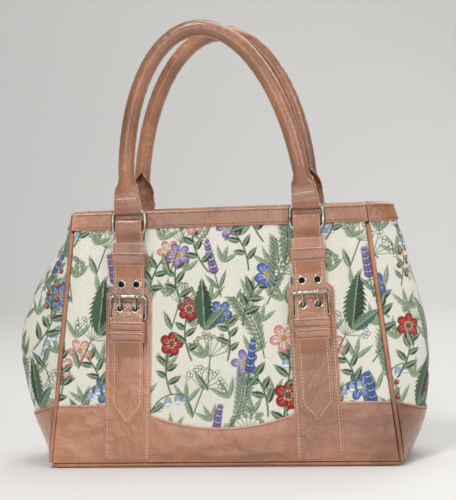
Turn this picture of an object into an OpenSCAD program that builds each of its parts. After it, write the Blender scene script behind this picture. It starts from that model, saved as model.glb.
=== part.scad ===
// Tapestry handbag: a soft satchel with leather trim, two rolled handles that swing
// on metal rings, and two buckled straps on its front. It stands on its base with
// its front towards -Y, and its origin is the middle of the base, on the floor.

/* [Body] */
// Height to the top of the band
bag_h = 250; // [225:1:280]
// Width of the front between its piped edges, at the base
base_w = 344; // [320:1:380]
// Width of the front between its piped edges, at the top
top_w = 286; // [270:1:310]
// Depth at the base
base_d = 104; // [92:1:124]
// Depth at the mouth
top_d = 56; // [50:1:70]
// How far each gusset stands out at half height, left and right
gusset_mid = [52, 42]; // [20:1:70]
// How far each gusset stands out at the top, left and right
gusset_top = [5, 24]; // [0:1:40]
// How much lower the side leather's top edge is at the middle of a gusset
gusset_dip = 13; // [0:1:16]

/* [Cloth and leather] */
// Thickness of the tapestry
cloth_t = 1.4; // [1:0.1:2]
// Thickness of the leather trim
leather_t = 1.6; // [1.2:0.1:2]
// Thickness of the lining
lining_t = 0.8; // [0.5:0.1:1.2]
// Thickness of the board in the base
board_t = 4; // [3.6:0.1:4.6]
// Height of the leather round the base
base_leather_h = 62; // [50:1:75]
// Height of the leather at the lowest point of the front's scooped edge
scoop_h = 38.5; // [30:0.5:46]
// Radius of the scooped edge
scoop_r = 197; // [170:1:240]
// Height of the band round the mouth
band_h = 18; // [14:0.5:20]
// Height of the band's inside
band_inside_h = 14; // [10:0.5:18]
// Radius of the piping
piping_r = 2.2; // [1.8:0.1:2.6]
// Radius of the base's corners
base_corner_r = 9; // [7:0.5:14]

/* [Straps] */
// Distance from the middle to each ring
strap_x = 87; // [78:1:95]
// Lean of each strap, its top towards the middle
strap_lean = 2.1; // [0:0.1:3]
// Width of the strap
strap_w = 31; // [29:0.5:34]
// Thickness of the strap
strap_t = 1.8; // [1.4:0.1:2.2]
// Height of the strap's point
strap_point_s = 41; // [36:1:50]
// Length of the strap's point
strap_point_l = 17; // [12:1:22]
// Height of the strap's upper end
strap_top_s = 219; // [216:1:220]
// Width of the leather patch under the strap
patch_w = 45; // [42:0.5:50]
// Thickness of the patch
patch_t = 2.8; // [2.4:0.1:3.2]
// Height of the patch's upper end
patch_top_s = 176; // [174:1:182]
// Thickness of a keeper
keeper_t = 1.4; // [1:0.1:1.8]
// Width of a keeper along the strap
keeper_l = 9.6; // [7:0.1:9.8]
// Width of the upper keeper along the strap
upper_keeper_l = 12.6; // [9:0.1:14]

/* [Metal] */
// Radius of the ring's wire
ring_wire_r = 1.7; // [1.4:0.1:1.9]
// Clear width inside a ring
ring_inner_w = 27; // [26:0.5:30]
// Distance between a ring's two bars
ring_pitch = 21; // [20:0.5:24]
// Radius of the bend at a ring's corners
ring_bend_r = 3.2; // [2.6:0.1:4]
// Radius of the buckle's side and pivot bars
buckle_bar_r = 1.5; // [1.2:0.1:1.6]
// Radius of the buckle's top bar
buckle_roller_r = 2.3; // [2:0.1:2.4]
// Distance between the buckle's two bars
buckle_pitch = 22; // [21.5:0.1:22.5]
// Half the thickness of a prong
prong_r = 1; // [0.8:0.1:1.1]
// Distance between the prongs
prong_pitch = 15; // [13:0.5:16]
// Radius of an eyelet's hole
eyelet_r = 2.8; // [2.6:0.1:3]
// Radius of an eyelet's flange
eyelet_flange_r = 4.75; // [4.4:0.05:4.9]

/* [Handles] */
// Height of a handle's arch above its rings
arch_h = 175; // [150:1:200]
// Sideways lean of the arch at its top, front and back
arch_lean = [-12, 2]; // [-20:1:20]
// Lean of the handles towards each other
handle_tip = 1.5; // [0:0.1:2.5]
// Radius of the rolled handle
handle_r = 8; // [7:0.25:9]
// Width of a handle's flat end
handle_tab_w = 24; // [20:0.5:26]

/* [Hidden] */
$fn = 48;
fit_gap = 0.3;
curve_gap = 0.6;
leather_colour = "#b57a56";
handle_colour = "#ad6f45";
cloth_colour = "#e6dfc0";
lining_colour = "#8f7a62";
metal_colour = "#b9b6a8";
board_colour = "#8a8378";
core_colour = "#b9cdd3";

// The front is a flat face that leans back by tilt; s is height measured up its slope.
tilt = atan((base_d - top_d) / 2 / bag_h);
slope_h = bag_h / cos(tilt);
foot_z = 2 * piping_r + 1.2;
bottom_t = leather_t + 0.6;
foot_s = foot_z / cos(tilt);
edge_gap = piping_r + fit_gap;

// Layers behind the tapestry's face, measured inwards.
lining_out = cloth_t + 2 * curve_gap;
lining_in = lining_out + lining_t;
band_in = lining_in + fit_gap + leather_t;

// Loops that hold the rings: the bar runs in a slot with leather all round it.
slot_r = ring_wire_r + fit_gap;
loop_r = slot_r + leather_t;
loop_w = ring_inner_w - 2 * (ring_bend_r - ring_wire_r) - 0.4;
loop_z = leather_t + fit_gap + loop_r;
loop_tail_t = 5.1;
loop_slack = 10;
ring_s = strap_top_s + 10;
ring_top_s = ring_s + ring_pitch;
loop_end_s = strap_top_s - 19;
tail_top_h = 15.5;

// Buckle, measured along the strap.
keeper_s = [122.5, 132.8];
chape_t = 1;
chape_r = buckle_bar_r + 0.15 + chape_t;
chape_w = strap_w - 1;
chape_end_s = 126;
pivot_s = keeper_s[1] + keeper_l + buckle_bar_r + 0.9;
pivot_z = patch_t + 0.1 + chape_r;
roller_s = pivot_s + buckle_pitch;
strap_flat_z = patch_t + strap_t / 2;
strap_over_z = pivot_z + chape_r + 0.2 + strap_t / 2;
strap_end_z = loop_tail_t + strap_t / 2;
roller_z = patch_t + strap_t + fit_gap + buckle_roller_r;
prong_eyelet_s = pivot_s + 10;
spare_eyelet_s = prong_eyelet_s + 24;
ramp_s = [pivot_s + 2.2, roller_s - 4.8];
ramp_slope = (strap_flat_z - strap_over_z) / (ramp_s[1] - ramp_s[0]);
ramp_angle = atan(ramp_slope);
frame_angle = asin((roller_z - pivot_z) / buckle_pitch);
frame_w = strap_w + 1 + 2 * buckle_bar_r;
eyelet_barrel_r = eyelet_r + 0.4;
upper_keeper_s = strap_top_s - 22;

// Handles turn about their rings' top bars.
handle_y = -base_d / 2 + ring_top_s * sin(tilt) - loop_z * cos(tilt);
handle_z = ring_top_s * cos(tilt) + loop_z * sin(tilt);
tab_bottom_h = 5;
roll_start_h = 14;
roll_end_h = 40;
tab_y = -(leather_t + fit_gap + 0.5 + leather_t);
core_r = handle_r - leather_t - 0.4;

function lerp(a, b, t) = a + (b - a) * t;
function clamp01(t) = min(1, max(0, t));
function smooth(t) = clamp01(t) * clamp01(t) * (3 - 2 * clamp01(t));
function half_w(z) = lerp(base_w, top_w, z / bag_h) / 2;
function half_d(z) = lerp(base_d, top_d, z / bag_h) / 2;
function slope_half_w(s) = lerp(base_w, top_w, s / slope_h) / 2;

// Places its children on the front's slope: x across, y up the slope, z outwards.
module on_front() {
    translate([0, -base_d / 2, 0]) rotate([90 - tilt, 0, 0]) children();
}

// Turns a piece of the front into the same piece on the back.
module on_back() {
    mirror([0, 1, 0]) children();
}

// Places its children along a strap, side -1 on the left and 1 on the right.
module on_strap(side) {
    on_front()
        translate([side * strap_x, strap_top_s, 0]) rotate([0, 0, side * strap_lean])
        translate([0, -strap_top_s, 0]) children();
}

// Strip of the front between two heights up the slope, short of each edge by a margin.
module slope_strip(s0, s1, margin) {
    polygon([
        [-slope_half_w(s0) + margin, s0], [slope_half_w(s0) - margin, s0],
        [slope_half_w(s1) - margin, s1], [-slope_half_w(s1) + margin, s1]
    ]);
}

// Closed sheet between two grids of points that have the same rows and columns.
module sheet(outer, inner) {
    rows = len(outer);
    cols = len(outer[0]);
    size = rows * cols;
    last = (rows - 1) * cols;
    skin = [
        for (i = [0:rows - 2], j = [0:cols - 2])
            let (a = i * cols + j)
            each [[a, a + 1, a + cols + 1], [a, a + cols + 1, a + cols]]
    ];
    back = [for (f = skin) [f[2] + size, f[1] + size, f[0] + size]];
    ends = [
        for (j = [0:cols - 2])
            each [
                [j, j + size, j + 1], [j + 1, j + size, j + 1 + size],
                [last + j, last + j + 1, last + j + size],
                [last + j + 1, last + j + 1 + size, last + j + size]
            ]
    ];
    sides = [
        for (i = [0:rows - 2])
            let (a = i * cols, b = a + cols, c = a + cols - 1, d = b + cols - 1)
            each [
                [a, b, a + size], [b, b + size, a + size],
                [c, c + size, d], [d, c + size, d + size]
            ]
    ];
    polyhedron([each each outer, each each inner], concat(skin, back, ends, sides));
}

// Gussets: a sheet from the front edge to the back edge that stands out in the middle.
// The sharpness has one value below the widest point and one above it.
gusset_rise = [1, 0.75];
gusset_sharpness = [[0.85, 1.5], [1, 1]];
gusset_rows = 10;
gusset_steps = 12;

function bulge(k, z) =
    let (h = clamp01(z / bag_h), t = pow(h, gusset_rise[k]))
    let (sharpness = gusset_sharpness[k][t < 0.5 ? 0 : 1])
    gusset_top[k] * h + (gusset_mid[k] - gusset_top[k] / 2) * pow(sin(180 * t), sharpness);

// Length of the gusset's outline for each unit of v, near its ends.
function gusset_speed(k, z) = norm([PI * bulge(k, z), 2 * half_d(z)]);

// Point of the gusset's outline at v from 0 at the front to 1 at the back, out by off.
function gusset_point(k, v, z, off) =
    let (b = bulge(k, z), d = half_d(z))
    let (along = [PI * b * cos(180 * v), 2 * d])
    let (out = [along[1], -along[0]] / norm(along))
    [half_w(z) + b * sin(180 * v) + off * out[0], -d + 2 * d * v + off * out[1], z];

function gusset_row(k, i, z, off, margin) =
    let (end = margin / gusset_speed(k, z))
    gusset_point(k, lerp(end, 1 - end, i / gusset_rows), z, off);

function heights(z0, z1, steps) = [for (j = [0:steps]) lerp(z0, z1, j / steps)];

// Column of the gusset's points at row i; its top is lower by dip at the middle of the gusset.
function gusset_column(k, i, z0, z1, steps, off, dip) =
    let (top = z1 - dip * sin(180 * i / gusset_rows))
    [for (z = heights(z0, top, steps)) gusset_row(k, i, z, off, edge_gap)];

// Sheet of the gusset between two heights and two offsets; k is 0 on the left, 1 on the right.
module gusset_sheet(k, z0, z1, steps, off0, off1, dip = 0) {
    mirror([k == 0 ? 1 : 0, 0, 0])
        sheet(
            [for (i = [0:gusset_rows]) gusset_column(k, i, z0, z1, steps, off1, dip)],
            [for (i = [0:gusset_rows]) gusset_column(k, i, z0, z1, steps, off0, dip)]
        );
}

// Tapestry: the front and back are flat, the gussets bulge.
module front_panel() {
    color(cloth_colour)
        on_front() translate([0, 0, -cloth_t]) linear_extrude(cloth_t)
        slope_strip(scoop_h - 12, slope_h - leather_t - fit_gap, edge_gap);
}

module gusset(k) {
    low = base_leather_h - gusset_dip - 12;
    color(cloth_colour)
        gusset_sheet(k, low, bag_h - leather_t - fit_gap, gusset_steps, -cloth_t, 0);
}

// Leather round the base, with a scooped upper edge between the straps.
module base_leather_outline() {
    difference() {
        slope_strip(foot_s, base_leather_h, edge_gap);
        translate([0, scoop_h + scoop_r]) circle(scoop_r, $fn = 180);
    }
}

module front_base_leather() {
    color(leather_colour) on_front() linear_extrude(leather_t) base_leather_outline();
}

module gusset_base_leather(k) {
    color(leather_colour)
        gusset_sheet(k, foot_z, base_leather_h, 5, curve_gap, curve_gap + leather_t, gusset_dip);
}

// Rounded rectangle about the origin.
module round_rectangle(w, d, r) {
    square([w - 2 * r, d], center = true);
    square([w, d - 2 * r], center = true);
    for (x = [-1, 1], y = [-1, 1])
        translate([x * (w / 2 - r), y * (d / 2 - r)]) circle(r);
}

// Base: a leather panel, piping round it and a stiff board on top.
module base_plate(inset, t) {
    linear_extrude(t)
        round_rectangle(base_w - 2 * inset, base_d - 2 * inset, base_corner_r - inset);
}

module bottom_panel() {
    color(leather_colour) base_plate(2 * piping_r + fit_gap, bottom_t);
}

module base_board() {
    color(board_colour)
        translate([0, 0, bottom_t]) base_plate(2 * piping_r + fit_gap, board_t);
}

module bottom_piping() {
    corner_x = base_w / 2 - base_corner_r;
    corner_y = base_d / 2 - base_corner_r;
    path_r = base_corner_r - piping_r;
    color(leather_colour) translate([0, 0, piping_r + 0.8]) {
        for (y = [-1, 1])
            translate([-corner_x, y * (corner_y + path_r), 0]) rotate([0, 90, 0])
                cylinder(2 * corner_x, r = piping_r);
        for (x = [-1, 1])
            translate([x * (corner_x + path_r), corner_y, 0]) rotate([90, 0, 0])
                cylinder(2 * corner_y, r = piping_r);
        for (q = [0:3])
            rotate([0, 0, 90 * q])
                translate(q % 2 == 0 ? [corner_x, corner_y, 0] : [corner_y, corner_x, 0])
                rotate_extrude(angle = 90) translate([path_r, 0]) circle(piping_r);
    }
}

// Piping up one edge of the front, side -1 on the left and 1 on the right.
module edge_piping(side) {
    low = [side * half_w(foot_z + 0.4), -half_d(foot_z + 0.4), foot_z + 0.4];
    top_z = bag_h - band_h - fit_gap;
    high = [side * half_w(top_z), -half_d(top_z), top_z];
    way = high - low;
    color(leather_colour)
        translate(low)
        rotate([0, acos(way[2] / norm(way)), atan2(way[1], way[0])])
        cylinder(norm(way) - piping_r, r = piping_r);
}

// Lining: a thin bag inside the panels, open at the top.
lining_margin = 4;
lining_steps = 15;

function lining_loop(z, off) =
    let (x = half_w(z) - lining_margin, y = half_d(z) - off)
    concat(
        [[-x, -y, z], [x, -y, z]],
        [for (i = [0:gusset_rows]) gusset_row(1, i, z, -off, lining_margin)],
        [[x, y, z], [-x, y, z]],
        [
            for (i = [gusset_rows:-1:0])
                let (p = gusset_row(0, i, z, -off, lining_margin))
                [-p[0], p[1], p[2]]
        ]
    );

module lining() {
    floor_z = bottom_t + board_t;
    rim_z = bag_h - leather_t - fit_gap;
    outer = [for (z = heights(floor_z, rim_z, lining_steps)) lining_loop(z, lining_out)];
    inner = [for (z = heights(floor_z + lining_t, rim_z, lining_steps)) lining_loop(z, lining_in)];
    n = len(outer[0]);
    size = n * (lining_steps + 1);
    walls = [
        for (j = [0:lining_steps - 1], i = [0:n - 1])
            let (a = j * n + i, b = j * n + (i + 1) % n)
            each [[a, a + n, b], [b, a + n, b + n]]
    ];
    inside = [for (f = walls) [f[2] + size, f[1] + size, f[0] + size]];
    rim = [
        for (i = [0:n - 1])
            let (a = size - n + i, b = size - n + (i + 1) % n)
            each [[a, a + size, b], [b, a + size, b + size]]
    ];
    floor_faces = [
        [for (i = [0:n - 1]) i],
        [for (i = [n - 1:-1:0]) size + i]
    ];
    color(lining_colour)
        polyhedron([each each outer, each each inner], concat(walls, inside, rim, floor_faces));
}

// Band round the mouth, folded over the top edge of the cloth and the lining.
module front_band() {
    edge = 0.4;
    inside_edge = 10;
    color(leather_colour) on_front() {
        linear_extrude(leather_t) slope_strip(slope_h - band_h, slope_h, edge);
        translate([0, 0, -band_in]) linear_extrude(band_in + leather_t)
            slope_strip(slope_h - leather_t, slope_h, edge);
        translate([0, 0, -band_in]) linear_extrude(leather_t)
            slope_strip(slope_h - band_inside_h, slope_h, inside_edge);
    }
}

module gusset_band(k) {
    z1 = bag_h;
    fold_z = z1 - leather_t;
    out = curve_gap + leather_t;
    outer = [[out, z1 - band_h], [out, z1], [-band_in, z1], [-band_in, z1 - band_inside_h]];
    inner = [
        [curve_gap, z1 - band_h], [curve_gap, fold_z],
        [leather_t - band_in, fold_z], [leather_t - band_in, z1 - band_inside_h]
    ];
    function margin(off) = off > 0 ? 0.8 : 6;
    color(leather_colour) mirror([k == 0 ? 1 : 0, 0, 0])
        sheet(
            [for (i = [0:gusset_rows]) [for (p = outer) gusset_row(k, i, p[1], p[0], margin(p[0]))]],
            [for (i = [0:gusset_rows]) [for (p = inner) gusset_row(k, i, p[1], p[0], margin(p[0]))]]
        );
}

// Patch sewn under each strap, over the tapestry and the base leather.
module patch(side) {
    cut = 6;
    low = foot_s + patch_w * sin(strap_lean) / 2 + fit_gap;
    w = patch_w / 2;
    color(leather_colour) difference() {
        on_strap(side) linear_extrude(patch_t)
            polygon([
                [-w, low], [w, low], [w, patch_top_s - cut],
                [w - cut, patch_top_s], [cut - w, patch_top_s], [-w, patch_top_s - cut]
            ]);
        on_front() translate([0, 0, -1]) linear_extrude(leather_t + 1) base_leather_outline();
    }
}

// Strap: its side view is carried across its width, then cut to its pointed outline.
module strap_solid(line) {
    upper = [for (p = line) [p[1] + strap_t / 2, p[0]]];
    under = [for (i = [len(line) - 1:-1:0]) [line[i][1] - strap_t / 2, line[i][0]]];
    w = strap_w / 2;
    intersection() {
        translate([-w - 1, 0, 0]) rotate([0, -90, 180]) mirror([0, 1, 0])
            linear_extrude(strap_w + 2) polygon(concat(upper, under));
        linear_extrude(strap_over_z + strap_t + strap_end_z)
            polygon([
                [0, strap_point_s], [w, strap_point_s + strap_point_l], [w, strap_top_s],
                [-w, strap_top_s], [-w, strap_point_s + strap_point_l]
            ]);
    }
}

// Turns its children to stand square on the strap at height s, at each eyelet across it.
module at_eyelets(s, z, angle) {
    for (x = [-1, 1])
        translate([x * prong_pitch / 2, s, z]) rotate([angle, 0, 0]) children();
}

prong_eyelet_z = strap_over_z + ramp_slope * (prong_eyelet_s - ramp_s[0]);

module at_all_eyelets() {
    at_eyelets(prong_eyelet_s, prong_eyelet_z, ramp_angle) children();
    at_eyelets(spare_eyelet_s, strap_flat_z, 0) children();
}

module front_strap(side) {
    line = [
        [strap_point_s, strap_flat_z], [keeper_s[0] - 14, strap_flat_z],
        [keeper_s[0], strap_over_z], [ramp_s[0], strap_over_z],
        [ramp_s[1], strap_flat_z], [loop_end_s - 14, strap_flat_z],
        [loop_end_s - 3, strap_end_z], [strap_top_s, strap_end_z]
    ];
    color(leather_colour) on_strap(side) difference() {
        strap_solid(line);
        at_all_eyelets() cylinder(4 * strap_t, r = eyelet_barrel_r + 0.1, center = true);
    }
}

module back_strap(side) {
    line = [
        [strap_point_s, strap_flat_z], [loop_end_s - 14, strap_flat_z],
        [loop_end_s - 3, strap_end_z], [strap_top_s, strap_end_z]
    ];
    color(leather_colour) on_strap(side) strap_solid(line);
}

// Eyelets: a barrel through the strap with a rounded flange on its face.
module eyelet(half_t) {
    rotate_extrude()
        polygon([
            [eyelet_r, -half_t], [eyelet_barrel_r, -half_t], [eyelet_barrel_r, half_t],
            [eyelet_flange_r, half_t], [eyelet_flange_r, half_t + 0.25],
            [eyelet_flange_r - 0.4, half_t + 0.5], [eyelet_r + 0.3, half_t + 0.5],
            [eyelet_r, half_t + 0.2]
        ]);
}

module eyelets(side) {
    color(metal_colour) on_strap(side) {
        at_eyelets(prong_eyelet_s, prong_eyelet_z, ramp_angle) eyelet(strap_t / 2 * cos(ramp_angle));
        at_eyelets(spare_eyelet_s, strap_flat_z, 0) eyelet(strap_t / 2);
    }
}

// Keeper: a band of leather over the strap, sewn down at both ends.
module keeper(side, s, l, base_z, top_z) {
    w = strap_w + 2 * (keeper_t + fit_gap);
    h = top_z + fit_gap + keeper_t - base_z;
    round_r = keeper_t;
    color(leather_colour) on_strap(side)
        translate([0, s + l, base_z]) rotate([90, 0, 0]) linear_extrude(l)
        difference() {
            union() {
                translate([-w / 2, 0]) square([w, h - round_r]);
                translate([round_r - w / 2, 0]) square([w - 2 * round_r, h]);
                for (x = [-1, 1]) translate([x * (w / 2 - round_r), h - round_r]) circle(round_r);
            }
            translate([keeper_t - w / 2, -1]) square([w - 2 * keeper_t, h - keeper_t + 1]);
        }
}

module upper_keeper(side) {
    keeper(side, upper_keeper_s, upper_keeper_l, 0, strap_end_z + strap_t / 2);
}

module middle_keeper(side) {
    keeper(side, keeper_s[1], keeper_l, patch_t, strap_over_z + strap_t / 2);
}

module lower_keeper(side) {
    keeper(side, keeper_s[0], keeper_l, patch_t, strap_over_z + strap_t / 2);
}

// Cylinder across the strap, about a point of its side view.
module cross_bar(s, z, r, l) {
    translate([-l / 2, s, z]) rotate([0, 90, 0]) cylinder(l, r = r);
}

// Tab folded round the buckle's pivot bar and sewn to the patch, slotted for the prongs.
module buckle_tab(side) {
    slot_w = 2 * prong_r + 1.2;
    color(leather_colour) on_strap(side) difference() {
        union() {
            cross_bar(pivot_s, pivot_z, chape_r, chape_w);
            translate([-chape_w / 2, chape_end_s, patch_t])
                cube([chape_w, pivot_s - chape_end_s, 2 * chape_t + 0.2]);
        }
        cross_bar(pivot_s, pivot_z, buckle_bar_r + 0.15, chape_w + 2);
        for (x = [-1, 1])
            translate([x * prong_pitch / 2 - slot_w / 2, pivot_s - chape_r - 0.6, patch_t - 1])
                cube([slot_w, 2 * chape_r + 2, 2 * chape_r + 2]);
    }
}

// Buckle frame, in its own plane about the pivot bar.
module buckle_frame(side) {
    corner_r = buckle_bar_r + 0.8;
    x1 = frame_w / 2;
    side_l = buckle_pitch - corner_r;
    color(metal_colour) on_strap(side) translate([0, pivot_s, pivot_z]) rotate([frame_angle, 0, 0]) {
        cross_bar(0, 0, buckle_bar_r, frame_w - 2 * corner_r);
        cross_bar(buckle_pitch, 0, buckle_roller_r, frame_w - 2 * corner_r - 3);
        cross_bar(buckle_pitch, 0, buckle_bar_r, frame_w - 2 * corner_r);
        for (x = [0, 1]) mirror([x, 0, 0]) {
            translate([x1, corner_r, 0]) rotate([-90, 0, 0]) cylinder(side_l - corner_r, r = buckle_bar_r);
            translate([x1 - corner_r, corner_r, 0]) rotate([0, 0, -90])
                rotate_extrude(angle = 90) translate([corner_r, 0]) circle(buckle_bar_r);
            translate([x1 - corner_r, side_l, 0])
                rotate_extrude(angle = 90) translate([corner_r, 0]) circle(buckle_bar_r);
        }
    }
}

// Prong: from a ring on the pivot bar, up through an eyelet and over the top bar.
function unit(v) = v / norm(v);

// Point of a bent bar's edge, r to the left of its route at point i, with mitred bends.
function edge_point(route, i, r) =
    let (last = len(route) - 1)
    let (before = unit(route[max(i, 1)] - route[max(i, 1) - 1]))
    let (after = unit(route[min(i + 1, last)] - route[min(i + 1, last) - 1]))
    let (mid = unit(before + after))
    route[i] + [-mid[1], mid[0]] * r / (mid * before);

module bar_outline(route, r) {
    last = len(route) - 1;
    polygon(concat(
        [for (i = [0:last]) edge_point(route, i, r)],
        [for (i = [last:-1:0]) edge_point(route, i, -r)]
    ));
}

module prong() {
    over_z = roller_z + buckle_roller_r + prong_r + 0.25;
    route = [
        [pivot_s + chape_r - 0.5, pivot_z - 0.4], [prong_eyelet_s - 2.8, prong_eyelet_z - 1.9],
        [prong_eyelet_s + 0.5, prong_eyelet_z + 1], [prong_eyelet_s + 6.2, over_z - 0.85],
        [roller_s, over_z], [roller_s + 3, over_z - 0.5]
    ];
    translate([-prong_r, 0, 0]) rotate([90, 0, 90]) linear_extrude(2 * prong_r) difference() {
        union() {
            bar_outline(route, prong_r);
            translate([pivot_s, pivot_z]) circle(chape_r - 0.05);
        }
        translate([pivot_s, pivot_z]) circle(buckle_bar_r + 0.1);
    }
}

module buckle_prongs(side) {
    color(metal_colour) on_strap(side)
        for (x = [-1, 1]) translate([x * prong_pitch / 2, 0, 0]) prong();
}

// Loop of leather that holds a ring's lower bar in a slack slot.
module ring_loop_profile() {
    difference() {
        union() {
            for (s = [ring_s, ring_s + loop_slack]) translate([s, loop_z]) circle(loop_r);
            translate([ring_s, loop_z - loop_r]) square([loop_slack, 2 * loop_r]);
            translate([loop_end_s, 0]) square([ring_s - loop_end_s, loop_tail_t]);
        }
        for (s = [ring_s, ring_s + loop_slack]) translate([s, loop_z]) circle(slot_r);
        translate([ring_s, loop_z - slot_r]) square([loop_slack, 2 * slot_r]);
    }
}

module ring_loop(side) {
    color(leather_colour) on_front()
        translate([side * strap_x - loop_w / 2, 0, 0])
        rotate([90, 0, 90]) linear_extrude(loop_w) ring_loop_profile();
}

// Ring: a wire rectangle with bent corners, its bars across the strap.
module ring(side) {
    x1 = ring_inner_w / 2 + ring_wire_r;
    bar_l = 2 * (x1 - ring_bend_r);
    color(metal_colour) on_front() translate([side * strap_x, ring_s, loop_z]) {
        for (s = [0, ring_pitch]) cross_bar(s, 0, ring_wire_r, bar_l);
        for (x = [0, 1]) mirror([x, 0, 0]) {
            translate([x1, ring_bend_r, 0]) rotate([-90, 0, 0])
                cylinder(ring_pitch - 2 * ring_bend_r, r = ring_wire_r);
            translate([x1 - ring_bend_r, ring_bend_r, 0]) rotate([0, 0, -90])
                rotate_extrude(angle = 90) translate([ring_bend_r, 0]) circle(ring_wire_r);
            translate([x1 - ring_bend_r, ring_pitch - ring_bend_r, 0])
                rotate_extrude(angle = 90) translate([ring_bend_r, 0]) circle(ring_wire_r);
        }
    }
}

// Places its children on the front handle's hinge line, tipped as the handle is.
module on_handle() {
    translate([0, handle_y, handle_z]) rotate([-handle_tip, 0, 0]) children();
}

// Loop at a handle's end, round the ring's upper bar.
module handle_loop(side) {
    color(handle_colour) on_handle()
        translate([side * strap_x - loop_w / 2, 0, 0])
        rotate([90, 0, 90]) linear_extrude(loop_w)
        difference() {
            union() {
                circle(loop_r);
                translate([-leather_t, 0]) square([2 * leather_t, tail_top_h]);
            }
            circle(slot_r);
        }
}

// Handles: a strip of leather, flat at its ends and rolled into a tube round a core.
// The arch is half an ellipse that leans sideways; the seam faces the mouth.
strip_cols = 14;
arch_steps = 18;
rolled_turn = 352;
flat_turn = 8;

function arch_point(a, lean) = [
    strap_x * cos(a) + lean * sin(a),
    arch_h * sin(a)
];
function arch_out(a, lean) =
    let (t = [-strap_x * sin(a) + lean * cos(a), arch_h * cos(a)])
    [t[1], -t[0]] / norm(t);
function rolled(a) = smooth((arch_h * sin(a) - roll_start_h) / (roll_end_h - roll_start_h));

// Point of the strip at angle a of the arch and share j of its width, at depth in from its face.
function strip_point(a, j, depth, lean) =
    let (k = rolled(a), turn = lerp(flat_turn, rolled_turn, k))
    let (rolled_w = handle_r * rolled_turn * PI / 180)
    let (r = lerp(handle_tab_w, rolled_w, k) / (turn * PI / 180))
    let (f = turn * (j - 0.5), c = arch_point(a, lean), out = arch_out(a, lean))
    let (face_y = lerp(tab_y, -handle_r, k))
    [
        c[0] + (r - depth) * sin(f) * out[0],
        face_y + r - (r - depth) * cos(f),
        c[1] + (r - depth) * sin(f) * out[1]
    ];

roll_steps = 5;
end_heights = concat(
    [tab_bottom_h],
    [for (i = [0:roll_steps]) lerp(roll_start_h, roll_end_h, i / roll_steps)]
);
end_angles = [for (h = end_heights) asin(h / arch_h)];
arch_start = end_angles[len(end_angles) - 1];
arch_angles = concat(
    end_angles,
    [for (i = [1:arch_steps - 1]) lerp(arch_start, 180 - arch_start, i / arch_steps)],
    [for (i = [len(end_angles) - 1:-1:0]) 180 - end_angles[i]]
);

module handle(lean) {
    grid = [for (depth = [0, leather_t])
        [for (a = arch_angles) [for (j = [0:strip_cols]) strip_point(a, j / strip_cols, depth, lean)]]];
    color(handle_colour) on_handle() sheet(grid[0], grid[1]);
}

// Core of the handle, from one rolled end to the other.
core_sides = 8;

module handle_core(lean) {
    angles = [for (i = [0:arch_steps]) lerp(arch_start, 180 - arch_start, i / arch_steps)];
    rows = [
        for (a = angles)
            let (c = arch_point(a, lean), out = arch_out(a, lean))
            [
                for (i = [0:core_sides - 1])
                    let (f = 360 * i / core_sides)
                    [
                        c[0] + core_r * cos(f) * out[0],
                        core_r * sin(f),
                        c[1] + core_r * cos(f) * out[1]
                    ]
            ]
    ];
    walls = [
        for (i = [0:arch_steps - 1], j = [0:core_sides - 1])
            let (a = i * core_sides + j, b = i * core_sides + (j + 1) % core_sides)
            each [[a, a + core_sides, b], [b, a + core_sides, b + core_sides]]
    ];
    caps = [
        [for (j = [0:core_sides - 1]) j],
        [for (j = [core_sides - 1:-1:0]) arch_steps * core_sides + j]
    ];
    color(core_colour) on_handle() polyhedron([each each rows], concat(walls, caps));
}

front_panel();
on_back() front_panel();  // back_panel
gusset(0);  // left_gusset
gusset(1);  // right_gusset
front_base_leather();
on_back() front_base_leather();  // back_base_leather
gusset_base_leather(0);  // left_base_leather
gusset_base_leather(1);  // right_base_leather
bottom_panel();
base_board();
lining();
front_band();
on_back() front_band();  // back_band
gusset_band(0);  // left_band
gusset_band(1);  // right_band
edge_piping(-1);  // front_left_piping
edge_piping(1);  // front_right_piping
on_back() edge_piping(-1);  // back_left_piping
on_back() edge_piping(1);  // back_right_piping
bottom_piping();
patch(-1);  // front_left_patch
patch(1);  // front_right_patch
on_back() patch(-1);  // back_left_patch
on_back() patch(1);  // back_right_patch
front_strap(-1);  // front_left_strap
front_strap(1);  // front_right_strap
on_back() back_strap(-1);  // back_left_strap
on_back() back_strap(1);  // back_right_strap
ring_loop(-1);  // front_left_ring_loop
ring_loop(1);  // front_right_ring_loop
on_back() ring_loop(-1);  // back_left_ring_loop
on_back() ring_loop(1);  // back_right_ring_loop
upper_keeper(-1);  // left_upper_keeper
upper_keeper(1);  // right_upper_keeper
middle_keeper(-1);  // left_middle_keeper
middle_keeper(1);  // right_middle_keeper
lower_keeper(-1);  // left_lower_keeper
lower_keeper(1);  // right_lower_keeper
buckle_tab(-1);  // left_buckle_tab
buckle_tab(1);  // right_buckle_tab
buckle_frame(-1);  // left_buckle_frame
buckle_frame(1);  // right_buckle_frame
buckle_prongs(-1);  // left_buckle_prongs
buckle_prongs(1);  // right_buckle_prongs
eyelets(-1);  // left_eyelets
eyelets(1);  // right_eyelets
ring(-1);  // front_left_ring
ring(1);  // front_right_ring
on_back() ring(-1);  // back_left_ring
on_back() ring(1);  // back_right_ring
handle(arch_lean[0]);  // front_handle
on_back() handle(arch_lean[1]);  // back_handle
handle_core(arch_lean[0]);  // front_handle_core
on_back() handle_core(arch_lean[1]);  // back_handle_core
handle_loop(-1);  // front_left_handle_loop
handle_loop(1);  // front_right_handle_loop
on_back() handle_loop(-1);  // back_left_handle_loop
on_back() handle_loop(1);  // back_right_handle_loop
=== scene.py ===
import math

import bmesh
import bpy
import numpy as np
from mathutils import Matrix, Vector


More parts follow.
